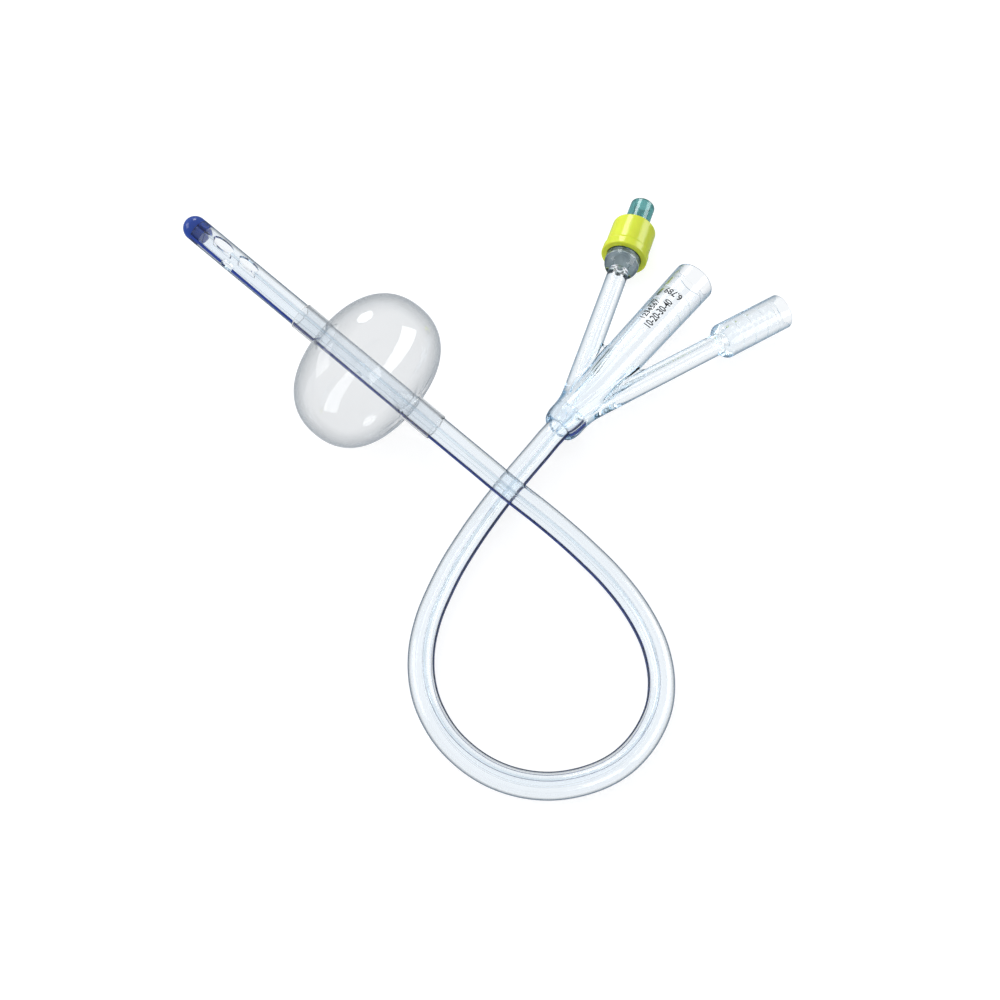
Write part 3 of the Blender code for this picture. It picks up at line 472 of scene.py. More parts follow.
def shaft_growth(distances):
    """The section's scale: a quarter sine over the flared end."""
    share = np.clip(1.0 - distances / FLARE_LENGTH, 0.0, 1.0)
    return 1.0 + FLARE_GROWTH * np.sin(share * math.pi / 2)


def carried(outline, distances):
    """An outline of (side, up) points carried along the shaft, turned and grown with its section."""
    point, _, side, up = shaft_frames(distances)
    turn, growth = shaft_turn(distances)[:, None], shaft_growth(distances)[:, None]
    across = (side * np.cos(turn) + up * np.sin(turn)) * growth
    above = (up * np.cos(turn) - side * np.sin(turn)) * growth
    s, u = outline[:, 0][None, :, None], outline[:, 1][None, :, None]
    return point[:, None] + s * across[:, None] + u * above[:, None]


def circle(centre, radius, start, end, count):
    """Points on a circle, angles in degrees, both ends kept unless it closes."""
    angles = np.radians(np.linspace(start, end, count, endpoint=abs(end - start) < 359.9))
    return np.stack([centre[0] + radius * np.cos(angles), centre[1] + radius * np.sin(angles)], axis=-1)


def d_outline(side, chord, radius, fillet, steps):
    """A D-shaped section: a circle cut by an upright chord, with a fillet that touches both in each
    corner. side is 1 towards the stripe and -1 away from it."""
    centre_s = chord + fillet
    centre_u = math.sqrt((radius - fillet) ** 2 - centre_s**2)
    lean = math.degrees(math.atan2(centre_u, centre_s))
    lower = circle((centre_s, -centre_u), fillet, -180, -lean, 7)
    upper = circle((centre_s, centre_u), fillet, lean, 180, 7)
    flat = np.stack([np.full(5, chord), np.linspace(centre_u, -centre_u, 7)[1:-1]], axis=-1)
    outline = np.vstack([lower, circle((0.0, 0.0), radius, -lean, lean, steps)[1:-1], upper, flat])
    return outline * (side, 1.0)


def lumens(play=0.0):
    """The irrigation and drainage lumens' sections, smaller by play."""
    fillet = LUMEN_FILLET - play / 2
    irrigation = d_outline(1, SEPTUM_OFFSET + SEPTUM / 2 + play, LUMEN_R - play, fillet, 18)
    drainage = d_outline(-1, -SEPTUM_OFFSET + SEPTUM / 2 + play, LUMEN_R - play, fillet, 30)
    return irrigation, drainage


def carried_body(name, outlines, distances):
    """The first outline carried along the shaft, with the others as lumens through it. Each end is a
    flat face round the lumens' mouths."""
    tubes = [carried(outline, distances) for outline in outlines]
    rows, columns = len(distances), [tube.shape[1] for tube in tubes]
    starts = rows * np.cumsum([0, *columns])[:-1]
    quads = [grid_quads(rows, n, first=start) for n, start in zip(columns, starts)]
    triangles = []
    for row in (0, rows - 1):
        loops = [[Vector(p) for p in tube[row]] for tube in tubes]
        numbers = np.concatenate([start + row * n + np.arange(n) for n, start in zip(columns, starts)])
        triangles.append(numbers[np.array(tessellate_polygon(loops))])
    points = np.vstack([tube.reshape(-1, 3) for tube in tubes])
    mesh = mesh_of(name, points, np.vstack(quads), np.vstack(triangles))
    inside = np.zeros(len(mesh.polygons), np.int32)
    inside[len(quads[0]) : sum(map(len, quads))] = 1
    mesh.materials.append(None)
    mesh.materials.append(None)
    mesh.polygons.foreach_set("material_index", inside)
    return placed(name, welded(mesh, 1e-8))


def oval_punch(name, from_tip, length, width, angle, low, radius):
    """A punch that enters the shaft's side at an angle above the stripe's side. Its section is an oval,
    and it widens towards its top, so that the eye's edge is eased as a hot punch leaves it."""
    point, travel, side, up = shaft_axes(SHAFT_LENGTH - from_tip)
    turn = math.radians(angle)
    outward = side * math.cos(turn) + up * math.sin(turn)
    around = np.cross(outward, travel)
    top = radius + 0.5 * MM
    heights = np.array([low, low, radius - 0.25 * MM, radius - 0.05 * MM, top, top])
    grown = np.array([0.0, 0.0, 0.0, 0.06 * MM, 0.35 * MM, 0.35 * MM])
    share = np.array([0.0, 1.0, 1.0, 1.0, 1.0, 0.0])
    a = np.linspace(0.0, math.tau, 48, endpoint=False)
    x = share[:, None] * (length / 2 + grown[:, None]) * np.cos(a)
    y = share[:, None] * (width / 2 + grown[:, None]) * np.sin(a)
    points = point + x[..., None] * travel + y[..., None] * around + heights[:, None, None] * outward
    return placed(name, welded(mesh_of(name, points.reshape(-1, 3), grid_quads(6, 48))))


def make_shaft(settings):
    """The extruded tube: a round outside and three lumens, with its eyes and inflation port punched."""
    radius = settings.diameter / 2
    rows = int(math.ceil(SHAFT_LENGTH / STATION_PITCH)) + 1
    distances = np.linspace(0.0, SHAFT_LENGTH, rows)
    fill = circle((SEPTUM_OFFSET, FILL_HEIGHT), FILL_R, 0, 360, 12)
    outlines = [circle((0.0, 0.0), radius, 0, 360, 60), *lumens(), fill]
    tube = carried_body("extruded_shaft", outlines, distances)
    turn = float(np.degrees(shaft_turn(SHAFT_LENGTH)))
    punches = [oval_punch(f"drainage_punch_{k}", *DRAINAGE_EYES[k], 0.35 * MM, radius) for k in range(2)]
    punches.append(oval_punch("irrigation_punch", *IRRIGATION_EYE, turn, 0.9 * MM, radius))
    fill_angle = math.degrees(math.atan2(FILL_HEIGHT, SEPTUM_OFFSET))
    port_turn = float(np.degrees(shaft_turn(SHAFT_LENGTH - INFLATION_PORT[0])))
    punches.append(oval_punch("port_punch", *INFLATION_PORT, port_turn + fill_angle, 2.3 * MM, radius))
    return smooth_piece(bore_marked(combined(tube, "DIFFERENCE", punches)))


def make_stripes(settings):
    """The stripe, a flat ribbon of filled silicone let into the wall, in two lengths either side of the
    irrigation eye."""
    radius = settings.diameter / 2
    half = math.degrees(math.asin(settings.stripe_width / 2 / radius))
    outline = np.vstack(
        [
            circle((0.0, 0.0), radius + 0.012 * MM, -half, half, 7),
            circle((0.0, 0.0), radius - 0.3 * MM, half, -half, 5),
        ]
    )
    eye = SHAFT_LENGTH - IRRIGATION_EYE[0]
    reach = IRRIGATION_EYE[1] / 2 + 0.05 * MM
    long = np.linspace(0.0, eye - reach, 301)
    short = np.linspace(eye + reach, SHAFT_LENGTH, 13)
    return (
        smooth_piece(carried_body("stripe_long", [outline], long)),
        smooth_piece(carried_body("stripe_short", [outline], short)),
    )


def turned_on_shaft(name, radius, rise, distance, sides, closed):
    """A turned piece on the shaft: the point at the distance + rise * travel + radius * (cos a * side +
    sin a * up). radius and rise are arrays of rows by angles, or of rows alone."""
    point, travel, side, up = shaft_axes(distance)
    angles = np.linspace(0.0, math.tau, sides, endpoint=False)
    radius, rise = (v if v.ndim > 1 else v[:, None] for v in (radius, rise))
    radius, rise = (np.broadcast_to(v, (len(v), sides)) for v in (radius, rise))
    points = (
        point
        + rise[..., None] * travel
        + (radius * np.cos(angles))[..., None] * side
        + (radius * np.sin(angles))[..., None] * up
    )
    mesh = mesh_of(name, points.reshape(-1, 3), grid_quads(len(radius), sides, closed_rows=closed))
    return placed(name, welded(mesh))


def make_tip(settings):
    """The closed tip: a short cylinder that rounds over as a quarter ellipse, with a prong in each D
    lumen that holds it."""
    radius, base, shoulder, dome = settings.diameter / 2 - 0.02 * MM, 0.03 * MM, 1.0 * MM, 2.92 * MM
    lean = np.radians(np.linspace(0.0, 90.0, 22))
    side_r = np.concatenate([[0.0, radius - 0.15 * MM, radius - 0.03 * MM, radius], radius * np.cos(lean)])
    side_w = np.concatenate([[0.0, 0.0, 0.03 * MM, 0.15 * MM], shoulder + dome * np.sin(lean)]) + base
    tip = turned_on_shaft("closed_tip", side_r, side_w, SHAFT_LENGTH, 72, False)
    prongs = []
    for name, outline in zip(("prong_a", "prong_b"), lumens(-0.02 * MM)):
        distances = SHAFT_LENGTH + np.array([-2.2, -1.1, -0.2]) * MM
        body = carried(outline, distances)
        travel = shaft_axes(SHAFT_LENGTH)[1]
        body = np.concatenate([body, body[-1:] + travel * 1.2 * MM])
        rows, columns = body.shape[:2]
        fan = np.arange(columns)
        middles = body[[0, -1]].mean(axis=1)
        points = np.vstack([body.reshape(-1, 3), middles])
        caps = [
            np.stack([fan + first, np.roll(fan, -1) + first, np.full(columns, rows * columns + k)], axis=-1)
            for k, first in enumerate((0, (rows - 1) * columns))
        ]
        mesh = mesh_of(name, points, grid_quads(rows, columns), np.vstack(caps))
        prongs.append(placed(name, welded(mesh, 1e-8)))
    return smooth_piece(combined(tip, "UNION", prongs))


def make_balloon(settings):
    """The filled sleeve. Past its necks its outline is a superellipse, a fillet runs from it into each
    cuff, and the wall keeps one thickness. Gathers ring the funnel-side neck and die out up the skin."""
    inside, bonded = 3.05 * MM, 2.97 * MM
    cuff = inside + settings.wall
    half_length, half_width = settings.length / 2, settings.diameter / 2
    end_fullness, side_fullness, reach, fillet = 2.23, 2.66, 21.1 * MM, 1.1 * MM
    neck = cuff + fillet
    start = math.asin((neck / half_width) ** (side_fullness / 2))
    t = np.linspace(start, math.pi - start, 121)
    skin = np.stack(
        [
            np.sin(t) ** (2 / side_fullness) * half_width,
            np.sign(np.cos(t)) * np.abs(np.cos(t)) ** (2 / end_fullness) * half_length,
        ],
        axis=-1,
    )
    bend = circle((neck, skin[0, 1] + fillet), fillet, 180, 270, 9)[:-1]
    cuff_rows = np.linspace(reach - 0.3 * MM, bend[0, 1], 8)[:-1]
    lip = circle((cuff - 0.15 * MM, reach - 0.15 * MM), 0.15 * MM, 90, 0, 5)
    side = np.vstack([lip, np.stack([np.full(7, cuff), cuff_rows], axis=-1), bend])
    outer = np.vstack([side, skin, side[::-1] * (1.0, -1.0)])
    run = np.gradient(outer, axis=0)
    run /= np.linalg.norm(run, axis=1, keepdims=True)
    inner = outer + settings.wall * np.stack([run[:, 1], -run[:, 0]], axis=-1)
    inner[:, 0] = np.maximum(inner[:, 0], bonded)
    inner[0], inner[-1] = (bonded, reach), (bonded, -reach)
    loop = np.vstack([outer, inner[::-1]])
    sides = 168
    angles = np.linspace(0.0, math.tau, sides, endpoint=False)[None, :]
    radius, rise = loop[:, :1], loop[:, 1:]
    above = np.maximum(radius - inside, 0.0)
    lift = np.clip(above / fillet - 0.6, 0.0, 1.0) * (rise < 0.0)
    gather = np.cos(settings.pleats * angles + 0.8 * np.sin(2 * angles)) + 0.35 * np.cos(13 * angles + 1.1)
    slow = np.exp(-above / (2.6 * fillet)) * lift
    rise = rise + 0.30 * MM * slow * gather
    radius = radius + 0.10 * MM * slow * gather
    middle = SHAFT_LENGTH - BALLOON_FROM_TIP
    return smooth_piece(turned_on_shaft("filled_balloon", radius, rise, middle, sides, True), TURNED_EDGE)


# Funnel moulding


def blend(a, b, reach):
    """The smaller of two distances, with the dip between them rounded: less a quarter of the square of
    what they differ by under reach, over reach."""
    near = np.maximum(reach - np.abs(a - b), 0.0)
    return np.minimum(a, b) - near * near / (4 * reach)


def fork_distance(points, arm_radius, fillet):
    """How far each point is outside the moulding near its fork: the funnel with its rounded shoulder,
    both side arms and the webs between them, blended into each other."""
    x, y, z = np.moveaxis(points, -1, 0)
    radius = np.hypot(x, z)
    lip, full, low, top = 3.55 * MM, 4.8 * MM, MOULDING_LOW, 1.8 * MM
    wall = np.interp(y, (top, FUNNEL_BASE, FUNNEL_RIM), (full, FUNNEL_BASE_R, FUNNEL_RIM_R))
    straight = radius - wall
    u, v = np.maximum(radius - lip, 0.0) / (full - lip), (top - y) / (top - low)
    level = np.hypot(u, v)
    slope = np.hypot(u / (full - lip), v / (top - low)) / np.maximum(level, 1e-6)
    shoulder = (level - 1.0) / np.maximum(slope, 1.0)
    distance = np.where(y > top, straight, shoulder)
    web_half, web_high = 1.2 * MM, 24.85 * MM
    for hand in (1, -1):
        along = x * hand * math.sin(ARM_ANGLE) + y * math.cos(ARM_ANGLE)
        off = x * hand * math.cos(ARM_ANGLE) - y * math.sin(ARM_ANGLE)
        arm = np.maximum(np.hypot(off, z) - arm_radius, 3.0 * MM - along)
        side = np.maximum(y - web_high, np.maximum(-x * hand, off))
        plate = blend_max(np.abs(z) - web_half, side, 0.3 * MM)
        distance = blend(distance, arm, fillet)
        distance = blend(distance, plate, 0.5 * fillet)
    return distance


def blend_max(a, b, reach):
    """The larger of two distances, with the corner between them rounded."""
    return -blend(-a, -b, reach)


def net(values, low, pitch):
    """The zero surface of values on a grid, as a surface net: one point in each cell that it passes
    through, at the mean of its crossings of the cell's edges, and a quad round each crossed edge."""
    inside = values < 0.0
    shape = np.array(values.shape) - 1
    total, count = np.zeros((*shape, 3)), np.zeros(shape)
    for axis in range(3):
        others = [k for k in range(3) if k != axis]
        for pair in ((0, 0), (0, 1), (1, 0), (1, 1)):
            near = [slice(0, n) for n in shape]
            for other, offset in zip(others, pair):
                near[other] = slice(offset, offset + shape[other])
            far = list(near)
            far[axis] = slice(1, shape[axis] + 1)
            a, b = values[tuple(near)], values[tuple(far)]
            crossed = inside[tuple(near)] != inside[tuple(far)]
            place = np.zeros((*shape, 3))
            place[..., axis] = np.where(crossed, a / np.where(a == b, 1.0, a - b), 0.0)
            for other, offset in zip(others, pair):
                place[..., other] = offset
            total += place * crossed[..., None]
            count += crossed
    used = count > 0
    number = np.full(tuple(shape), -1)
    number[used] = np.arange(used.sum())
    points = low + (np.argwhere(used) + total[used] / count[used][:, None]) * pitch
    quads = []
    for axis in range(3):
        others = [k for k in range(3) if k != axis]
        near = [slice(1, -1)] * 3
        far = [slice(1, -1)] * 3
        near[axis], far[axis] = slice(0, -1), slice(1, None)
        cells = np.argwhere(inside[tuple(near)] != inside[tuple(far)])
        offset = np.ones(3, int)
        offset[axis] = 0
        cells = cells + offset
        ring = []
        for a, b in ((0, 0), (1, 0), (1, 1), (0, 1)):
            at = cells.copy()
            at[:, others[0]] -= a
            at[:, others[1]] -= b
            ring.append(number[at[:, 0], at[:, 1], at[:, 2]])
        quads.append(np.stack(ring, axis=-1))
    quads = np.vstack(quads)
    return points, quads[(quads >= 0).all(axis=1)]


def drawn_on(points, distance, rounds):
    """Points moved on to a zero surface: each round steps down the slope of the distance."""
    step = 0.01 * MM
    shifts = np.eye(3) * step
    for _ in range(rounds):
        slope = np.stack([distance(points + s) - distance(points - s) for s in shifts], axis=-1) / (2 * step)
        steepness = np.maximum((slope**2).sum(axis=1), 1e-6)
        points = points - distance(points)[:, None] * slope / steepness[:, None]
    return points


def relaxed(points, quads, rounds, distance):
    """Points moved towards the mean of their neighbours and back on to the surface, which evens a net."""
    pairs = np.vstack([quads[:, [k, (k + 1) % 4]] for k in range(4)])
    for _ in range(rounds):
        total, count = np.zeros_like(points), np.zeros(len(points))
        for a, b in ((0, 1), (1, 0)):
            np.add.at(total, pairs[:, a], points[pairs[:, b]])
            np.add.at(count, pairs[:, a], 1.0)
        points = 0.5 * points + 0.5 * total / np.maximum(count, 1.0)[:, None]
        points = drawn_on(points, distance, 2)
    return points


def fork_mesh(arm_radius, fillet):
    """The fork's outside as a bmesh in the arms' frame: the zero surface of fork_distance, as an evened
    net, cut square across each arm at the fork's end."""
    pitch = 0.3 * MM
    low = np.array((-13.5, -2.3, -5.55)) * MM
    high = np.array((13.5, 31.0, 5.55)) * MM
    sizes = np.ceil((high - low) / pitch).astype(int) + 1
    grid = low + np.stack(np.meshgrid(*(np.arange(n) for n in sizes), indexing="ij"), axis=-1) * pitch

    def distance(points):
        """The fork's distance, cut off square at its low end."""
        return np.maximum(fork_distance(points, arm_radius, fillet), MOULDING_LOW - points[..., 1])

    points, quads = net(distance(grid), low, pitch)
    points = relaxed(drawn_on(points, distance, 3), quads, 3, distance)
    bm = bmesh.new()
    bm.from_mesh(mesh_of("fork", points, quads))
    bmesh.ops.remove_doubles(bm, verts=bm.verts, dist=1e-6)
    for angle in (0.0, ARM_ANGLE, -ARM_ANGLE):
        along = Vector(arm_axes(angle)[0])
        faces = []
        for face in bm.faces:
            centre = face.calc_center_median()
            beyond = centre.y > 25.6 * MM
            lane = 0 if abs(centre.x) < 5.75 * MM else math.copysign(1, centre.x)
            if beyond and lane == (0 if angle == 0 else math.copysign(1, angle)):
                faces.append(face)
        geometry = {v for f in faces for v in f.verts} | {e for f in faces for e in f.edges} | set(faces)
        bmesh.ops.bisect_plane(
            bm,
            geom=list(geometry),
            dist=1e-6,
            plane_co=along * FORK_END,
            plane_no=along,
            clear_outer=True,
        )
    return bm


def join_arm(bm, angle, outline, name):
    """Carries an arm on from the fork's cut edge: the outline's rows turned through even angles, and
    triangles between the first row and the edge. Going round, each point of either ring makes one with
    the point before it and the last point passed on the other ring."""
    along, across = arm_axes(angle)
    edge = np.array([v.co for v in bm.verts if v.is_boundary], float)
    off = np.hypot(edge @ across, edge[:, 2]) - outline[0][0]
    places = edge[(np.abs(edge @ along - FORK_END) < 0.002 * MM) & (np.abs(off) < 0.3 * MM)]
    cut = np.arctan2(places[:, 2], places @ across)
    order = np.argsort(cut)
    cut, places = cut[order], places[order]
    even = np.linspace(-math.pi, math.pi, 97)[:-1] + 0.001
    rows = turned_points(np.asarray(outline), even, (along, across), np.zeros(3))
    n, m = len(cut), len(even)
    passed_even = (np.searchsorted(even, cut) - 1) % m + n
    passed_cut = (np.searchsorted(cut, even, side="right") - 1) % n
    triangles = np.vstack(
        [
            np.stack([(np.arange(n) - 1) % n, np.arange(n), passed_even], axis=-1),
            np.stack([passed_cut, np.arange(m) + n, (np.arange(m) - 1) % m + n], axis=-1),
        ]
    )
    points = np.vstack([places, rows.reshape(-1, 3)])
    made = mesh_of(name, points, grid_quads(len(rows), m, first=n), triangles)
    bm.from_mesh(made)
    bpy.data.meshes.remove(made)


def beaded(mouth_r, end_r, mouth, depth, centres, height, width):
    """A bore's side from its mouth down: it narrows evenly, and a low round bead rings it at each centre,
    a bell curve of the distance from it. The rows are close as far as the beads go."""
    beaded_to = min(centres[-1] + 2 * width, depth)
    below = np.linspace(0.0, beaded_to, int(beaded_to / (0.11 * MM)))
    if beaded_to < depth:
        below = np.concatenate([below, np.linspace(beaded_to, depth, 10)[1:]])
    bumps = np.exp(-(((below[:, None] - centres) / (0.55 * width)) ** 2)).sum(axis=1)
    radius = mouth_r + (end_r - mouth_r) * below / depth - height * bumps
    return np.stack([radius, mouth - below], axis=-1)


def channel_between(name, points, radii):
    """A tapered round channel in the arms' frame, closed at both ends: straight between two points, or
    a parabola through three."""
    points = np.asarray(points, float)
    fine = np.linspace(0.0, len(points) - 1.0, 12 * (len(points) - 1) + 1)
    numbers = np.arange(len(points))
    if len(points) > 2:
        a, b, c = points
        t = (fine / 2)[:, None]
        line = (1 - t) ** 2 * a + 2 * t * (1 - t) * (2 * b - (a + c) / 2) + t**2 * c
    else:
        line = np.stack([np.interp(fine, numbers, points[:, k]) for k in range(3)], axis=-1)
    radius = np.interp(fine, numbers, radii)
    travel = np.gradient(line, axis=0)
    travel /= np.linalg.norm(travel, axis=1, keepdims=True)
    side = np.cross(UP, travel)
    side /= np.linalg.norm(side, axis=1, keepdims=True)
    up = np.cross(travel, side)
    line = np.vstack([line[:1], line, line[-1:]])
    radius = np.concatenate([[0.0], radius, [0.0]])
    side, up = (np.vstack([v[:1], v, v[-1:]]) for v in (side, up))
    a = np.linspace(0.0, math.tau, 40, endpoint=False)
    ring = np.cos(a)[None, :, None] * side[:, None] + np.sin(a)[None, :, None] * up[:, None]
    rows = JUNCTION + line[:, None] + radius[:, None, None] * ring
    return placed(name, welded(mesh_of(name, rows.reshape(-1, 3), grid_quads(len(rows), 40))))


def bores(settings):
    """All the hollows of the moulding as cutters: the shaft's socket, the three bores and the passages
    that join them."""
    # The socket is a little under the shaft's size. Bonded silicone has no air between it, and where the
    # two surfaces lap the light goes through both as if through one.
    end, gap, shaft_r = 4.0 * MM, -0.03 * MM, 3.0 * MM
    down = np.linspace(0.0, FLARE_LENGTH, 13)
    flare = np.stack([shaft_r * shaft_growth(down) + gap, end - down], axis=-1)
    low = MOULDING_LOW - 0.5 * MM
    socket = [(0.0, end + gap), (flare[0, 0], end + gap), *flare[1:], (shaft_r + gap, low), (0.0, low)]
    funnel = settings.funnel_length
    centres = np.arange(4) * 4.4 * MM + 4.2 * MM
    drain = beaded(4.85 * MM, 2.6 * MM, funnel, 42.0 * MM, centres, 0.17 * MM, 0.8 * MM)
    drain[0, 0] += 0.12 * MM
    drain = [(0.0, funnel + 0.5 * MM), (5.1 * MM, funnel + 0.5 * MM), *drain, (0.0, drain[-1, 1])]
    rim = settings.connector_end
    centres = np.arange(4) * 3.7 * MM + 1.6 * MM
    rings = beaded(3.2 * MM, 2.65 * MM, rim - 1.4 * MM, 13.3 * MM, centres, 0.17 * MM, 0.75 * MM)
    foot = rings[-1, 1]
    lean = np.radians(np.linspace(12.0, 90.0, 9))
    bullet = np.stack([(1.6 + 1.05 * np.cos(lean)) * MM, foot - 3.0 * MM * np.sin(lean)], axis=-1)
    inner_end = (end + 10.0 * MM) / math.cos(ARM_ANGLE)
    last = inner_end - 0.5 * MM
    irrigation = [
        (0.0, rim + 0.5 * MM),
        (3.95 * MM, rim + 0.5 * MM),
        (3.9 * MM, rim),
        (3.6 * MM, rim - 0.5 * MM),
        *rings,
        *bullet,
        (1.6 * MM, 46.9 * MM),
        (1.42 * MM, 46.4 * MM),
        *((1.25 * MM, w) for w in np.linspace(45.9 * MM, last, 44)),
        (0.0, last),
    ]
    valve_r, valve_end, spigot_r, spigot_end = 3.63 * MM, 53.17 * MM, 1.73 * MM, 50.52 * MM
    inflation = [
        (0.0, 63.3 * MM),
        (valve_r, 63.3 * MM),
        (valve_r, valve_end),
        (spigot_r, valve_end),
        (spigot_r, spigot_end),
        *((0.9 * MM, w) for w in np.linspace(spigot_end, last, 50)),
        (0.0, last),
    ]
    grown = 1.0 + FLARE_GROWTH
    begin = end - 0.5 * MM
    throat = (0.0, funnel - 41.5 * MM, 0.0)
    drain_r, water_r = 1.5 * MM, 0.7 * MM
    drainage = ((-grown * (LUMEN_R - drain_r), begin, 0.0), throat)
    meet = np.array((inner_end * math.sin(ARM_ANGLE), inner_end * math.cos(ARM_ANGLE), 0.0))
    water = ((grown * (LUMEN_R - water_r), begin, 0.0), meet)
    fill_low = FILL_HEIGHT * grown
    other = meet * (-1.0, 1.0, 1.0)
    bend = (other[0] * 0.6, begin + 6.0 * MM, fill_low * 0.9)
    filling = ((SEPTUM_OFFSET * grown, begin, fill_low), bend, other)
    return [
        turned("socket_bore", socket, closed=False),
        turned("drainage_bore", drain, closed=False),
        turned("irrigation_bore", irrigation, ARM_ANGLE, closed=False),
        turned("inflation_bore", inflation, -ARM_ANGLE, closed=False),
        channel_between("drainage_passage", drainage, (drain_r, 2.6 * MM)),
        channel_between("irrigation_passage", water, (water_r, water_r)),
        channel_between("inflation_passage", filling, (0.42 * MM,) * 3),
    ]


def funnel_radius(along):
    """The funnel's outer radius: its base's, plus the slope times the distance from its base."""
    return FUNNEL_BASE_R + FUNNEL_SLOPE * (along - FUNNEL_BASE)


def make_moulding(settings):
    """The funnel moulding: the fork's blended surface, carried on as three turned arms, less its bores."""
    radius = settings.arm_diameter / 2
    bm = fork_mesh(radius, settings.fillet)
    funnel, rim = settings.funnel_length, settings.connector_end
    start = FORK_END + 0.6 * MM
    wall = np.linspace(start, funnel - 0.4 * MM, 12)
    rounding = 0.35 * MM
    drainage = [
        *np.stack([funnel_radius(wall), wall], axis=-1),
        *circle((5.25 * MM, funnel - rounding), rounding, 0, 90, 7),
        (5.2 * MM, funnel),
        (0.0, funnel),
    ]
    shoulder = circle((2.66 * MM, 48.7 * MM), 1.9 * MM, -84, 0, 14)
    shoulder = shoulder[shoulder[:, 0] > radius + 0.25 * MM]
    connector = [
        *((radius, w) for w in np.linspace(start, 46.55 * MM, 9)),
        (radius + 0.03 * MM, 46.78 * MM),
        (radius + 0.11 * MM, 46.86 * MM),
        *shoulder,
        *((4.56 * MM, w) for w in np.linspace(49.2 * MM, rim - 0.4 * MM, 8)),
        *circle((4.21 * MM, rim - rounding), rounding, 0, 90, 7),
        (4.15 * MM, rim),
        (0.0, rim),
    ]
    lean = np.radians(np.linspace(0.0, 90.0, 15))
    full = 4.65 * MM
    bulb_r = radius + (full - radius) * np.sin(lean)
    bulb_w = 49.6 * MM + 3.2 * MM * (1 - np.cos(lean))
    inflation = [
        *((radius, w) for w in np.linspace(start, 49.2 * MM, 9)),
        *np.stack([bulb_r, bulb_w], axis=-1),
        *((full, w) for w in np.linspace(53.4 * MM, 62.5 * MM, 5)),
        *circle((4.5 * MM, 62.65 * MM), 0.15 * MM, 0, 90, 5),
        (0.0, 62.8 * MM),
    ]
    join_arm(bm, 0.0, drainage, "drainage_arm")
    join_arm(bm, ARM_ANGLE, connector, "irrigation_arm")
    join_arm(bm, -ARM_ANGLE, inflation, "inflation_arm")
    bmesh.ops.translate(bm, verts=bm.verts, vec=JUNCTION)
    mesh = bpy.data.meshes.new("funnel_and_arms")
    bm.to_mesh(mesh)
    bm.free()
    body = placed("funnel_and_arms", welded(mesh, 5e-7))
    return smooth_piece(bore_marked(combined(body, "DIFFERENCE", bores(settings))), 45)


def make_print(settings):
    """The printed figures: flat type made a mesh, then wrapped round the funnel by turning its height
    into an angle, a hundredth of a millimetre proud of the silicone. A line is its figures, their height,
    its length, where it starts along the funnel, its angle, and whether it runs round the funnel."""
    lines = (
        (settings.figures, 2.1 * MM, 9.9 * MM, 33.7 * MM, 73.0, False),
        ("1234567", 1.5 * MM, 7.0 * MM, 35.2 * MM, 104.0, False),
        ("6.789", 1.9 * MM, 5.0 * MM, 46.9 * MM, 64.0, True),
    )
    type_size, thickness, weight = 1.38, 0.008 * MM, 0.05 * MM
    bm = bmesh.new()
    for words, height, length, start, lean, around in lines:
        text = bpy.data.curves.new("figures", "FONT")
        text.body, text.size, text.resolution_u = words, height * type_size, 6
        text.extrude, text.offset = thickness, weight
        holder = placed("figures", text)
        graph = bpy.context.evaluated_depsgraph_get()
        mesh = bpy.data.meshes.new_from_object(holder.evaluated_get(graph))
        bpy.data.objects.remove(holder, do_unlink=True)
        flat = np.empty(len(mesh.vertices) * 3, np.float32)
        mesh.vertices.foreach_get("co", flat)
        x, y, z = flat.reshape(-1, 3).astype(float).T
        x = (x - x.min()) * length / np.ptp(x)
        forward, aside = (-y, x) if around else (x, y)
        distance = start + forward
        radius = funnel_radius(distance)
        angle = math.radians(lean) + aside / radius
        along, across = arm_axes(0.0)
        outward = np.cos(angle)[:, None] * across + np.sin(angle)[:, None] * UP
        points = JUNCTION + distance[:, None] * along + (radius + 0.01 * MM + z)[:, None] * outward
        mesh.vertices.foreach_set("co", points.ravel().astype(np.float32))
        bm.from_mesh(mesh)
        bpy.data.meshes.remove(mesh)
    bmesh.ops.recalc_face_normals(bm, faces=bm.faces)
    joined = bpy.data.meshes.new("printed_figures")
    bm.to_mesh(joined)
    bm.free()
    joined.materials.clear()
    return placed("printed_figures", joined)


# Valve


def valve_piece(name, outline, sides, steps=5):
    """A piece turned about the inflation arm, from (radius, along, the corner's own radius) in
    millimetres."""
    return smooth_piece(turned(name, rounded(np.array(outline) * MM, steps), -ARM_ANGLE, sides), TURNED_EDGE)


def make_collar():
    """The pressed-on collar: a cap with a low flange, all corners rounded, and an in-turned crown."""
    outline = (
        (4.70, 54.35, 0.08),
        (6.20, 54.35, 0.28),
        (6.20, 56.55, 0.1),
        (5.70, 56.65, 0.05),
        (5.93, 57.15, 0.1),
        (5.90, 64.85, 0.55),
        (3.35, 64.85, 0.15),
        (3.35, 63.70, 0.08),
        (4.70, 63.70, 0.1),
    )
    return valve_piece("collar_cap", outline, 144, 6)


def make_valve_body():
    """The valve's body: the inlet with its hole tapered for a syringe, a flange that rests on the
    socket's rim, and the barrel in the socket."""
    outline = (
        (2.14, 73.25, 0.18),
        (3.30, 73.25, 0.3),
        (3.30, 63.65, 0.05),
        (4.55, 63.65, 0.08),
        (4.55, 62.85, 0.08),
        (3.65, 62.85, 0.08),
        (3.65, 54.70, 0.1),
        (2.55, 54.70, 0.05),
        (2.55, 64.95, 0.2),
        (1.30, 64.95, 0.08),
        (1.30, 65.75, 0.08),
        (1.915, 65.75, 0.15),
    )
    return valve_piece("valve_shell", outline, 112)


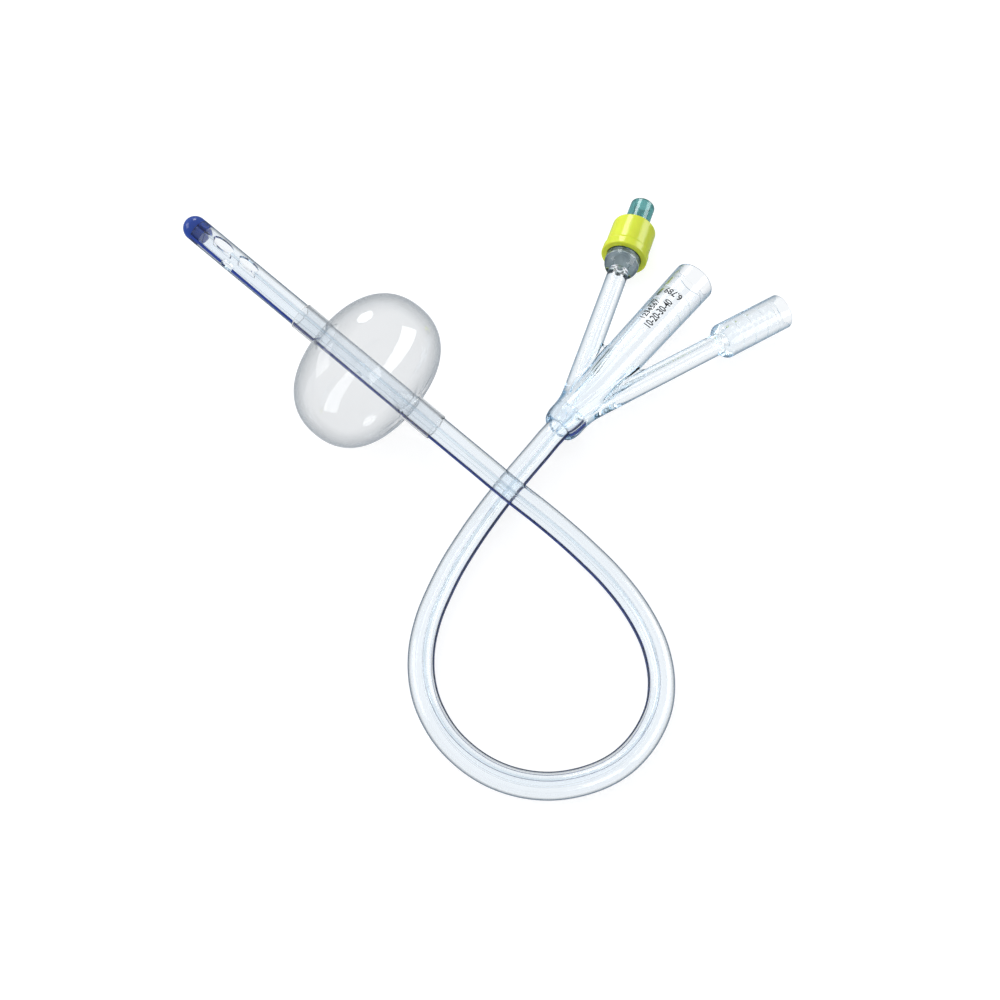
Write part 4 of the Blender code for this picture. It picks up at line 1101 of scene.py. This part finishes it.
def make_valve_base():
    """The valve's base: a disc with a plug up into the barrel and a spigot down into the arm."""
    outline = (
        (0.70, 55.70, 0.1),
        (2.50, 55.70, 0.1),
        (2.50, 54.65, 0.05),
        (3.65, 54.65, 0.08),
        (3.65, 53.15, 0.3),
        (1.75, 53.15, 0.08),
        (1.75, 50.55, 0.15),
        (0.70, 50.55, 0.1),
    )
    return valve_piece("valve_foot", outline, 96)


def make_stem():
    """The stem: a pin with a disc that carries the seal, and a tail in the spring, turned from points of
    radius and distance along the arm."""
    outline = (
        (0.0, 68.65),
        (0.55, 68.65),
        (0.69, 68.59),
        (0.75, 68.45),
        (0.75, 68.2),
        (0.75, 63.6),
        (0.78, 63.52),
        (0.90, 63.5),
        (1.96, 63.5),
        (2.06, 63.46),
        (2.10, 63.36),
        (2.10, 62.84),
        (2.06, 62.74),
        (1.96, 62.7),
        (0.90, 62.7),
        (0.78, 62.68),
        (0.75, 62.6),
        (0.75, 59.5),
        (0.69, 59.36),
        (0.55, 59.3),
        (0.0, 59.3),
    )
    return smooth_piece(turned("stem_pin", np.array(outline) * MM, -ARM_ANGLE, 64, closed=False), 50)


def make_seal():
    """The seal: a soft washer on the stem, domed where it meets the seat."""
    outline = (
        (0.80, 63.55, 0.05),
        (2.20, 63.55, 0.15),
        (2.20, 64.60, 0.35),
        (0.80, 64.85, 0.1),
    )
    return valve_piece("seal_washer", outline, 72)


def make_spring():
    """The spring: a round wire on a helix whose rise eases to nothing over its first and last turn."""
    wire, radius, turns, eased = 0.18 * MM, 1.6 * MM, 6, 0.8
    low, high = SPRING_SEAT + wire + 0.05 * MM, SPRING_TOP - wire - 0.05 * MM
    turn = np.linspace(0.0, turns, turns * 40 + 1)
    share = np.clip((turn - eased) / (turns - 2 * eased), 0.0, 1.0)
    ends = (turn / turns - share) * 2 * wire
    distance = low + (high - low) * share + ends
    along, across = arm_axes(-ARM_ANGLE)
    angle = turn * math.tau
    outward = np.cos(angle)[:, None] * across + np.sin(angle)[:, None] * UP
    line = JUNCTION + distance[:, None] * along + radius * outward
    around = np.linspace(0.0, math.tau, 12, endpoint=False)
    ring = np.cos(around)[None, :, None] * outward[:, None] + np.sin(around)[None, :, None] * along
    ends_closed = [line[k, None, None] + 0 * ring[:1] for k in (0, -1)]
    points = np.concatenate([ends_closed[0], line[:, None] + wire * ring, ends_closed[1]])
    mesh = mesh_of("wound_spring", points.reshape(-1, 3), grid_quads(len(points), 12))
    return smooth_piece(placed("wound_spring", welded(mesh)), TURNED_EDGE)


# Materials


def add(tree, kind, inputs=None, **settings):
    """Adds a node. inputs maps a socket's name or number to its value, or to the output that feeds it."""
    made = tree.nodes.new(kind)
    for key, value in settings.items():
        setattr(made, key, value)
    for key, value in (inputs or {}).items():
        if isinstance(value, bpy.types.NodeSocket):
            tree.links.new(value, made.inputs[key])
        else:
            made.inputs[key].default_value = value
    return made


def new_material(name):
    """An empty material with its output, and its Object coordinates."""
    material = bpy.data.materials.new(name)
    material.use_nodes = True
    tree = material.node_tree
    tree.nodes.clear()
    place = add(tree, "ShaderNodeTexCoord").outputs["Object"]
    return material, tree, place


def ramp(tree, value, low, high, first, last):
    """A value between low and high as one between first and last."""
    return add(
        tree,
        "ShaderNodeMapRange",
        {"Value": value, "From Min": low, "From Max": high, "To Min": first, "To Max": last},
    ).outputs["Result"]


def mixed_colour(tree, factor, first, second):
    """The colour between two, at a factor from 0 to 1."""
    inputs = {"Factor": factor, "A": first, "B": second}
    return add(tree, "ShaderNodeMix", inputs, data_type="RGBA").outputs["Result"]


def less(tree, value, other):
    """A value less another, and not below 0."""
    return add(tree, "ShaderNodeMath", {0: value, 1: other}, operation="SUBTRACT", use_clamp=True).outputs[0]


def clear_silicone(name, colour, edge, painted_shade_span, tint, density, wave_mm, wave):
    """Clear silicone. Its skin has the gloss of the tool or die, with a soft waviness. Thick silicone goes
    faintly blue because it absorbs a little red. Every edge is greyed by painted shade: where Layer Weight
    finds the skin seen at a low angle, its colour is mixed towards the edge colour. The walls of its bores,
    marked by an attribute, are left without this painted shade."""
    material, tree, place = new_material(name)
    soft = add(tree, "ShaderNodeTexNoise", {"Vector": place, "Scale": 1000 / wave_mm, "Detail": 2.0})
    bump = add(
        tree,
        "ShaderNodeBump",
        {"Height": soft.outputs["Fac"], "Strength": wave, "Distance": 0.05 * MM},
    )
    facing = add(tree, "ShaderNodeLayerWeight", {"Blend": 0.5}).outputs["Facing"]
    inside = add(tree, "ShaderNodeAttribute", attribute_name="bore").outputs["Fac"]
    # Painted shade: the outer skin's colour is mixed towards the edge colour where it is seen at a low angle
    outside = less(tree, ramp(tree, facing, *painted_shade_span, 0.0, 1.0), inside)
    shader = add(
        tree,
        "ShaderNodeBsdfPrincipled",
        {
            "Base Color": mixed_colour(tree, outside, opaque(colour), opaque(edge)),
            "Roughness": ramp(tree, soft.outputs["Fac"], 0.3, 0.7, 0.015, 0.035),
            "Normal": bump.outputs["Normal"],
            "IOR": 1.41,
            "Transmission Weight": 1.0,
        },
    )
    body = add(tree, "ShaderNodeVolumeAbsorption", {"Color": opaque(tint), "Density": density})
    add(
        tree,
        "ShaderNodeOutputMaterial",
        {"Surface": shader.outputs["BSDF"], "Volume": body.outputs["Volume"]},
    )
    return material


def solid_finish(name, colours, grain_mm, roughness, relief_mm, **more):
    """A moulded or filled finish: two near colours mottled at the grain's size, with the roughness and
    relief that the same grain gives. more may hold its transmission, metallic, ior and subsurface."""
    material, tree, place = new_material(name)
    grain = add(tree, "ShaderNodeTexNoise", {"Vector": place, "Scale": 1000 / grain_mm, "Detail": 4.0})
    mottle = add(tree, "ShaderNodeTexNoise", {"Vector": place, "Scale": 1000 / (8 * grain_mm), "Detail": 2.0})
    share = ramp(tree, mottle.outputs["Fac"], 0.35, 0.65, 0.0, 1.0)
    bump = add(
        tree,
        "ShaderNodeBump",
        {"Height": grain.outputs["Fac"], "Strength": 0.5, "Distance": relief_mm * MM},
    )
    inputs = {
        "Base Color": mixed_colour(tree, share, opaque(colours[0]), opaque(colours[1])),
        "Roughness": ramp(tree, grain.outputs["Fac"], 0.3, 0.7, *roughness),
        "Normal": bump.outputs["Normal"],
        "Metallic": more.get("metallic", 0.0),
        "Transmission Weight": more.get("transmission", 0.0),
        "Subsurface Weight": more.get("subsurface", 0.0),
        "Subsurface Scale": 1.2 * MM,
    }
    if not more.get("metallic"):
        inputs["IOR"] = more.get("ior", 1.5)
    shader = add(tree, "ShaderNodeBsdfPrincipled", inputs)
    add(tree, "ShaderNodeOutputMaterial", {"Surface": shader.outputs["BSDF"]})
    return material


def shade(colour, factor):
    """A linear colour made lighter or darker."""
    return tuple(min(c * factor, 1.0) for c in tuple(colour)[:3])


# Operators


class CATHETER_OT_stage(bpy.types.Operator):
    """Sets up the floor, the soft studio light, the lamps and the camera"""

    bl_idname = "catheter.stage"
    bl_label = "Stage"

    def execute(self, context):
        scene = context.scene
        settings = scene.catheter_stage
        scene.view_settings.view_transform = "Standard"
        scene.cycles.max_bounces = 32
        scene.cycles.transmission_bounces = 24
        scene.cycles.glossy_bounces = 20
        # Rare glints deep in the silicone would speckle it, so their brightness is held back
        scene.cycles.sample_clamp_indirect = 3.0
        lens = bpy.data.cameras.new("camera")
        lens.lens, lens.sensor_width = 41.4, 36.0
        lens.clip_start, lens.clip_end = 0.01, 20.0
        camera = placed("camera", lens)
        look = Vector((-0.2912, 0.3583, -0.887))
        turn = look.to_track_quat("-Z", "Y").to_matrix().to_4x4()
        camera.matrix_world = Matrix.Translation((96.555 * MM, -117.894 * MM, 247.0 * MM)) @ turn
        scene.camera = camera
        self.make_floor(settings)
        self.make_world(scene, settings)
        self.make_lamps(settings)
        return {"FINISHED"}

    def make_floor(self, settings):
        """A white table that takes a soft shadow. Seen by the camera or through the silicone it is white
        by its own colour, and a share of it is lit, so that the shadow stays."""
        half = 1.6
        corners = np.array(((-half, -half), (half, -half), (half, half), (-half, half)))
        points = np.column_stack([corners, np.full(4, -0.02 * MM)])
        floor = placed("floor", mesh_of("floor", points, np.array([[0, 1, 2, 3]])))
        material, tree, _ = new_material("white_table")
        rays = add(tree, "ShaderNodeLightPath").outputs
        plain = add(tree, "ShaderNodeBsdfDiffuse", {"Color": opaque(srgb("#F2F2F2"))})
        lit = add(tree, "ShaderNodeBsdfDiffuse", {"Color": opaque(srgb("#A0A0A0"))})
        glow = add(tree, "ShaderNodeEmission", {"Color": WHITE, "Strength": 0.8})
        direct = add(tree, "ShaderNodeAddShader", {0: lit.outputs[0], 1: glow.outputs[0]})
        # Through the silicone the table is white, and a little greyer where it is met at a low angle. A
        # gloss mirrors the table as grey as the walls, which draws the edges of everything clear.
        graze = add(tree, "ShaderNodeLayerWeight", {"Blend": 0.5}).outputs["Facing"]
        mirror = less(tree, rays["Is Glossy Ray"], rays["Is Transmission Ray"])
        tone = mixed_colour(tree, mirror, WHITE, opaque(shade(settings.surround, 0.7)))
        strength = ramp(tree, graze, 0.3, 0.95, 1.0, 0.82)
        through = add(tree, "ShaderNodeEmission", {"Color": tone, "Strength": strength})
        inputs = {0: rays["Is Camera Ray"], 1: through.outputs[0], 2: direct.outputs[0]}
        seen = add(tree, "ShaderNodeMixShader", inputs)
        inputs = {0: rays["Is Diffuse Ray"], 1: seen.outputs[0], 2: plain.outputs[0]}
        mixed = add(tree, "ShaderNodeMixShader", inputs)
        add(tree, "ShaderNodeOutputMaterial", {"Surface": mixed.outputs[0]})
        floor.data.materials.append(material)

    def make_world(self, scene, settings):
        """White where the camera sees past the floor. For everything else it is a studio: grey walls low
        down, which draw the edges of the clear silicone, under a paler ceiling."""
        world = bpy.data.worlds.new("studio")
        world.use_nodes = True
        tree = world.node_tree
        tree.nodes.clear()
        rays = add(tree, "ShaderNodeLightPath").outputs
        toward = add(tree, "ShaderNodeTexCoord").outputs["Generated"]
        sky = add(tree, "ShaderNodeSeparateXYZ", {0: toward}).outputs
        height = ramp(tree, sky["Z"], 0.05, 0.75, 0.0, 1.0)
        walls = mixed_colour(tree, height, opaque(settings.surround), opaque(srgb("#E6E9EC")))
        # What is seen through the silicone is nearer the table's white
        share = ramp(tree, rays["Is Transmission Ray"], 0.0, 1.0, 0.0, 0.8)
        pale = mixed_colour(tree, share, walls, WHITE)
        strength = ramp(tree, sky["X"], -1.0, 1.0, 1.08, 0.8)
        dim = add(tree, "ShaderNodeBackground", {"Color": pale, "Strength": strength})
        white = add(tree, "ShaderNodeBackground", {"Color": WHITE, "Strength": 1.0})
        inputs = {0: rays["Is Camera Ray"], 1: dim.outputs[0], 2: white.outputs[0]}
        mixed = add(tree, "ShaderNodeMixShader", inputs)
        add(tree, "ShaderNodeOutputWorld", {"Surface": mixed.outputs[0]})
        scene.world = world

    def make_lamps(self, settings):
        """Soft boxes, each placed where the photographed highlights mirror to, seen from the balloon."""
        centre = np.array((-24.0, -19.0, 19.4)) * MM
        for name, toward, along, reach, size, share, left, through in (
            ("window", (0.69, 0.60, 0.41), (-0.62, 0.78, -0.1), 0.8, (1.1, 0.42), 0.85, False, True),
            ("oval", (-0.592, 0.523, 0.613), (1.0, 1.0, 0.0), 0.8, (0.27, 0.33), 1.4, True, True),
            ("side", (0.814, -0.234, 0.532), (0.0, 0.0, 1.0), 0.8, (0.32, 0.26), 1.0, False, False),
            ("left", (-0.75, -0.5, 0.43), (-0.55, 0.83, 0.0), 0.9, (0.6, 0.4), 0.7, True, False),
        ):
            light = bpy.data.lights.new(name, "AREA")
            light.size, light.size_y = size
            light.shape = "RECTANGLE"
            face = size[0] * size[1]
            if name == "oval":
                light.shape = "ELLIPSE"
                face *= math.pi / 4
            light.energy = settings.lamp_brightness * share * math.pi * face
            lamp = placed(name, light)
            # The lamps on the right only mirror in the gloss, so that the right sides stay in shade. The
            # balloon mirrors two of the lamps in its far wall as well.
            lamp.visible_diffuse, lamp.visible_transmission = left, through
            back = Vector(toward).normalized()
            up = back.cross(Vector(along)).normalized()
            turn = Matrix((up.cross(back), up, back)).transposed().to_4x4()
            lamp.matrix_world = Matrix.Translation(Vector(centre) + back * reach) @ turn


class CATHETER_OT_shaft(bpy.types.Operator):
    """Makes the extruded shaft with its stripe, closed tip and filled balloon"""

    bl_idname = "catheter.shaft"
    bl_label = "Shaft, tip and balloon"

    def execute(self, context):
        shaft, filled = context.scene.catheter_shaft, context.scene.catheter_balloon
        # Extruded platinum-cured silicone: clear, glossy, a little wavy along its length, its edges greyed by
        # painted shade
        extruded = clear_silicone(
            "extruded_clear_silicone",
            shaft.silicone,
            edge=srgb("#3C4856"),
            painted_shade_span=(0.36, 0.62),
            tint=srgb("#27B6E0"),
            density=40.0,
            wave_mm=9.0,
            wave=0.05,
        )
        # Barium-filled silicone: opaque, with a dull satin surface
        colours = (shaft.stripe, shade(shaft.stripe, 1.15))
        stripe = solid_finish("barium_filled_silicone", colours, 0.4, (0.3, 0.42), 0.004, ior=1.41)
        # Pigmented silicone, dip-moulded: glossy, lets a little light in
        colours = (shaft.tip, shade(shaft.tip, 1.25))
        pigmented = solid_finish(
            "pigmented_blue_silicone", colours, 0.6, (0.05, 0.1), 0.002, ior=1.41, subsurface=0.1
        )
        # Dipped silicone stretched thin: very glossy, faintly grey where light crosses its wall, and its rim
        # greyed further by painted shade
        sleeve = clear_silicone(
            "stretched_clear_silicone",
            srgb("#F8F9FA"),
            edge=srgb("#9FA6AC"),
            painted_shade_span=(0.4, 1.0),
            tint=srgb("#2A3A4A"),
            density=95.0,
            wave_mm=14.0,
            wave=0.04,
        )
        tip = dress(make_tip(shaft), pigmented, CATHETER, ["tip_plug"])
        balloon = dress(make_balloon(filled), sleeve, CATHETER, ["balloon"])
        long, short = make_stripes(shaft)
        dress(long, stripe, CATHETER, ["radiopaque_stripe"])
        dress(short, stripe, CATHETER, ["radiopaque_stripe_tip"])
        tube = dress(make_shaft(shaft), extruded, CATHETER, ["shaft_tube"])
        return {"FINISHED"}


class CATHETER_OT_moulding(bpy.types.Operator):
    """Makes the funnel moulding with its three arms, and the figures printed on it"""

    bl_idname = "catheter.moulding"
    bl_label = "Funnel moulding"

    def execute(self, context):
        settings = context.scene.catheter_moulding
        shaft = context.scene.catheter_shaft
        # Liquid silicone injected over the shaft's end: clear, glossy from the tool, its edges greyed by
        # painted shade
        moulded = clear_silicone(
            "moulded_clear_silicone",
            shaft.silicone,
            edge=srgb("#6A8296"),
            painted_shade_span=(0.36, 0.66),
            tint=srgb("#27B6E0"),
            density=16.0,
            wave_mm=8.0,
            wave=0.05,
        )
        # Pad-printed silicone ink: flat black with a slight sheen
        colours = (settings.ink, shade(settings.ink, 1.6))
        ink = solid_finish("pad_printed_ink", colours, 0.3, (0.38, 0.5), 0.002, ior=1.45)
        dress(make_moulding(settings), moulded, CATHETER, ["funnel_moulding"])
        dress(make_print(settings), ink, CATHETER, [])
        return {"FINISHED"}


class CATHETER_OT_valve(bpy.types.Operator):
    """Makes the check valve: its collar, body and base, and the sprung stem with its seal"""

    bl_idname = "catheter.valve"
    bl_label = "Check valve"

    def execute(self, context):
        settings = context.scene.catheter_valve
        # Polypropylene, injection moulded: bright, with a satin gloss
        colours = (settings.collar, shade(settings.collar, 1.05))
        lime = solid_finish(
            "moulded_lime_polypropylene", colours, 0.5, (0.16, 0.24), 0.003, ior=1.49, subsurface=0.1
        )
        # Tinted polycarbonate, injection moulded: see-through, glossy
        colours = (settings.body, shade(settings.body, 1.1))
        teal = solid_finish(
            "moulded_teal_polycarbonate", colours, 1.2, (0.08, 0.14), 0.002, transmission=0.8, ior=1.58
        )
        # The same plastic with less dye
        colours = (settings.base, shade(settings.base, 1.1))
        grey = solid_finish(
            "moulded_grey_polycarbonate", colours, 1.2, (0.16, 0.24), 0.002, transmission=0.65, ior=1.58
        )
        # Acetal, turned or moulded: white with a low sheen
        colours = (srgb("#E4E7EA"), srgb("#EDEFF1"))
        acetal = solid_finish("white_acetal", colours, 0.4, (0.34, 0.44), 0.003, ior=1.48)
        # Moulded seal rubber: near black and matt
        colours = (srgb("#232527"), srgb("#303335"))
        rubber = solid_finish("black_seal_rubber", colours, 0.3, (0.55, 0.68), 0.005)
        # Drawn stainless spring wire: bright, with fine marks along it
        colours = (srgb("#B9BDC1"), srgb("#C7CACD"))
        steel = solid_finish("drawn_spring_steel", colours, 0.15, (0.2, 0.32), 0.002, metallic=1.0)
        dress(make_collar(), lime, CATHETER, ["valve_collar"])
        dress(make_valve_body(), teal, CATHETER, ["valve_body"])
        dress(make_valve_base(), grey, CATHETER, ["valve_base"])
        dress(make_stem(), acetal, STEM, ["valve_stem"])
        dress(make_seal(), rubber, STEM, ["valve_seal"])
        spring = dress(make_spring(), steel, CATHETER, ["valve_spring"])
        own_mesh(spring)
        return {"FINISHED"}


class CATHETER_PT_panel(bpy.types.Panel):
    """Lists the catheter's pieces and their settings"""

    bl_label = "Urinary catheter"
    bl_idname = "CATHETER_PT_panel"
    bl_space_type = "VIEW_3D"
    bl_region_type = "UI"
    bl_category = "Catheter"

    def draw(self, context):
        for operator, names in PARTS:
            box = self.layout.box()
            box.operator(operator.bl_idname)
            for name in names:
                settings = getattr(context.scene, name)
                for key in settings.__annotations__:
                    box.prop(settings, key)


SETTINGS = (
    ("catheter_shaft", ShaftSettings),
    ("catheter_balloon", BalloonSettings),
    ("catheter_moulding", MouldingSettings),
    ("catheter_valve", ValveSettings),
    ("catheter_stage", StageSettings),
)
PARTS = (
    (CATHETER_OT_stage, ("catheter_stage",)),
    (CATHETER_OT_shaft, ("catheter_shaft", "catheter_balloon")),
    (CATHETER_OT_moulding, ("catheter_moulding",)),
    (CATHETER_OT_valve, ("catheter_valve",)),
)
CLASSES = (*(kind for _, kind in SETTINGS), *(operator for operator, _ in PARTS), CATHETER_PT_panel)


def register():
    """Registers the settings, the operators and the panel."""
    for kind in CLASSES:
        bpy.utils.register_class(kind)
    for name, kind in SETTINGS:
        setattr(bpy.types.Scene, name, PointerProperty(type=kind))


def unregister():
    """Takes away what register has made, the last first."""
    for name, _ in SETTINGS:
        delattr(bpy.types.Scene, name)
    for kind in reversed(CLASSES):
        bpy.utils.unregister_class(kind)


def main():
    register()
    bpy.ops.catheter.stage()
    bpy.ops.catheter.shaft()
    bpy.ops.catheter.moulding()
    bpy.ops.catheter.valve()


if __name__ == "__main__":
    main()
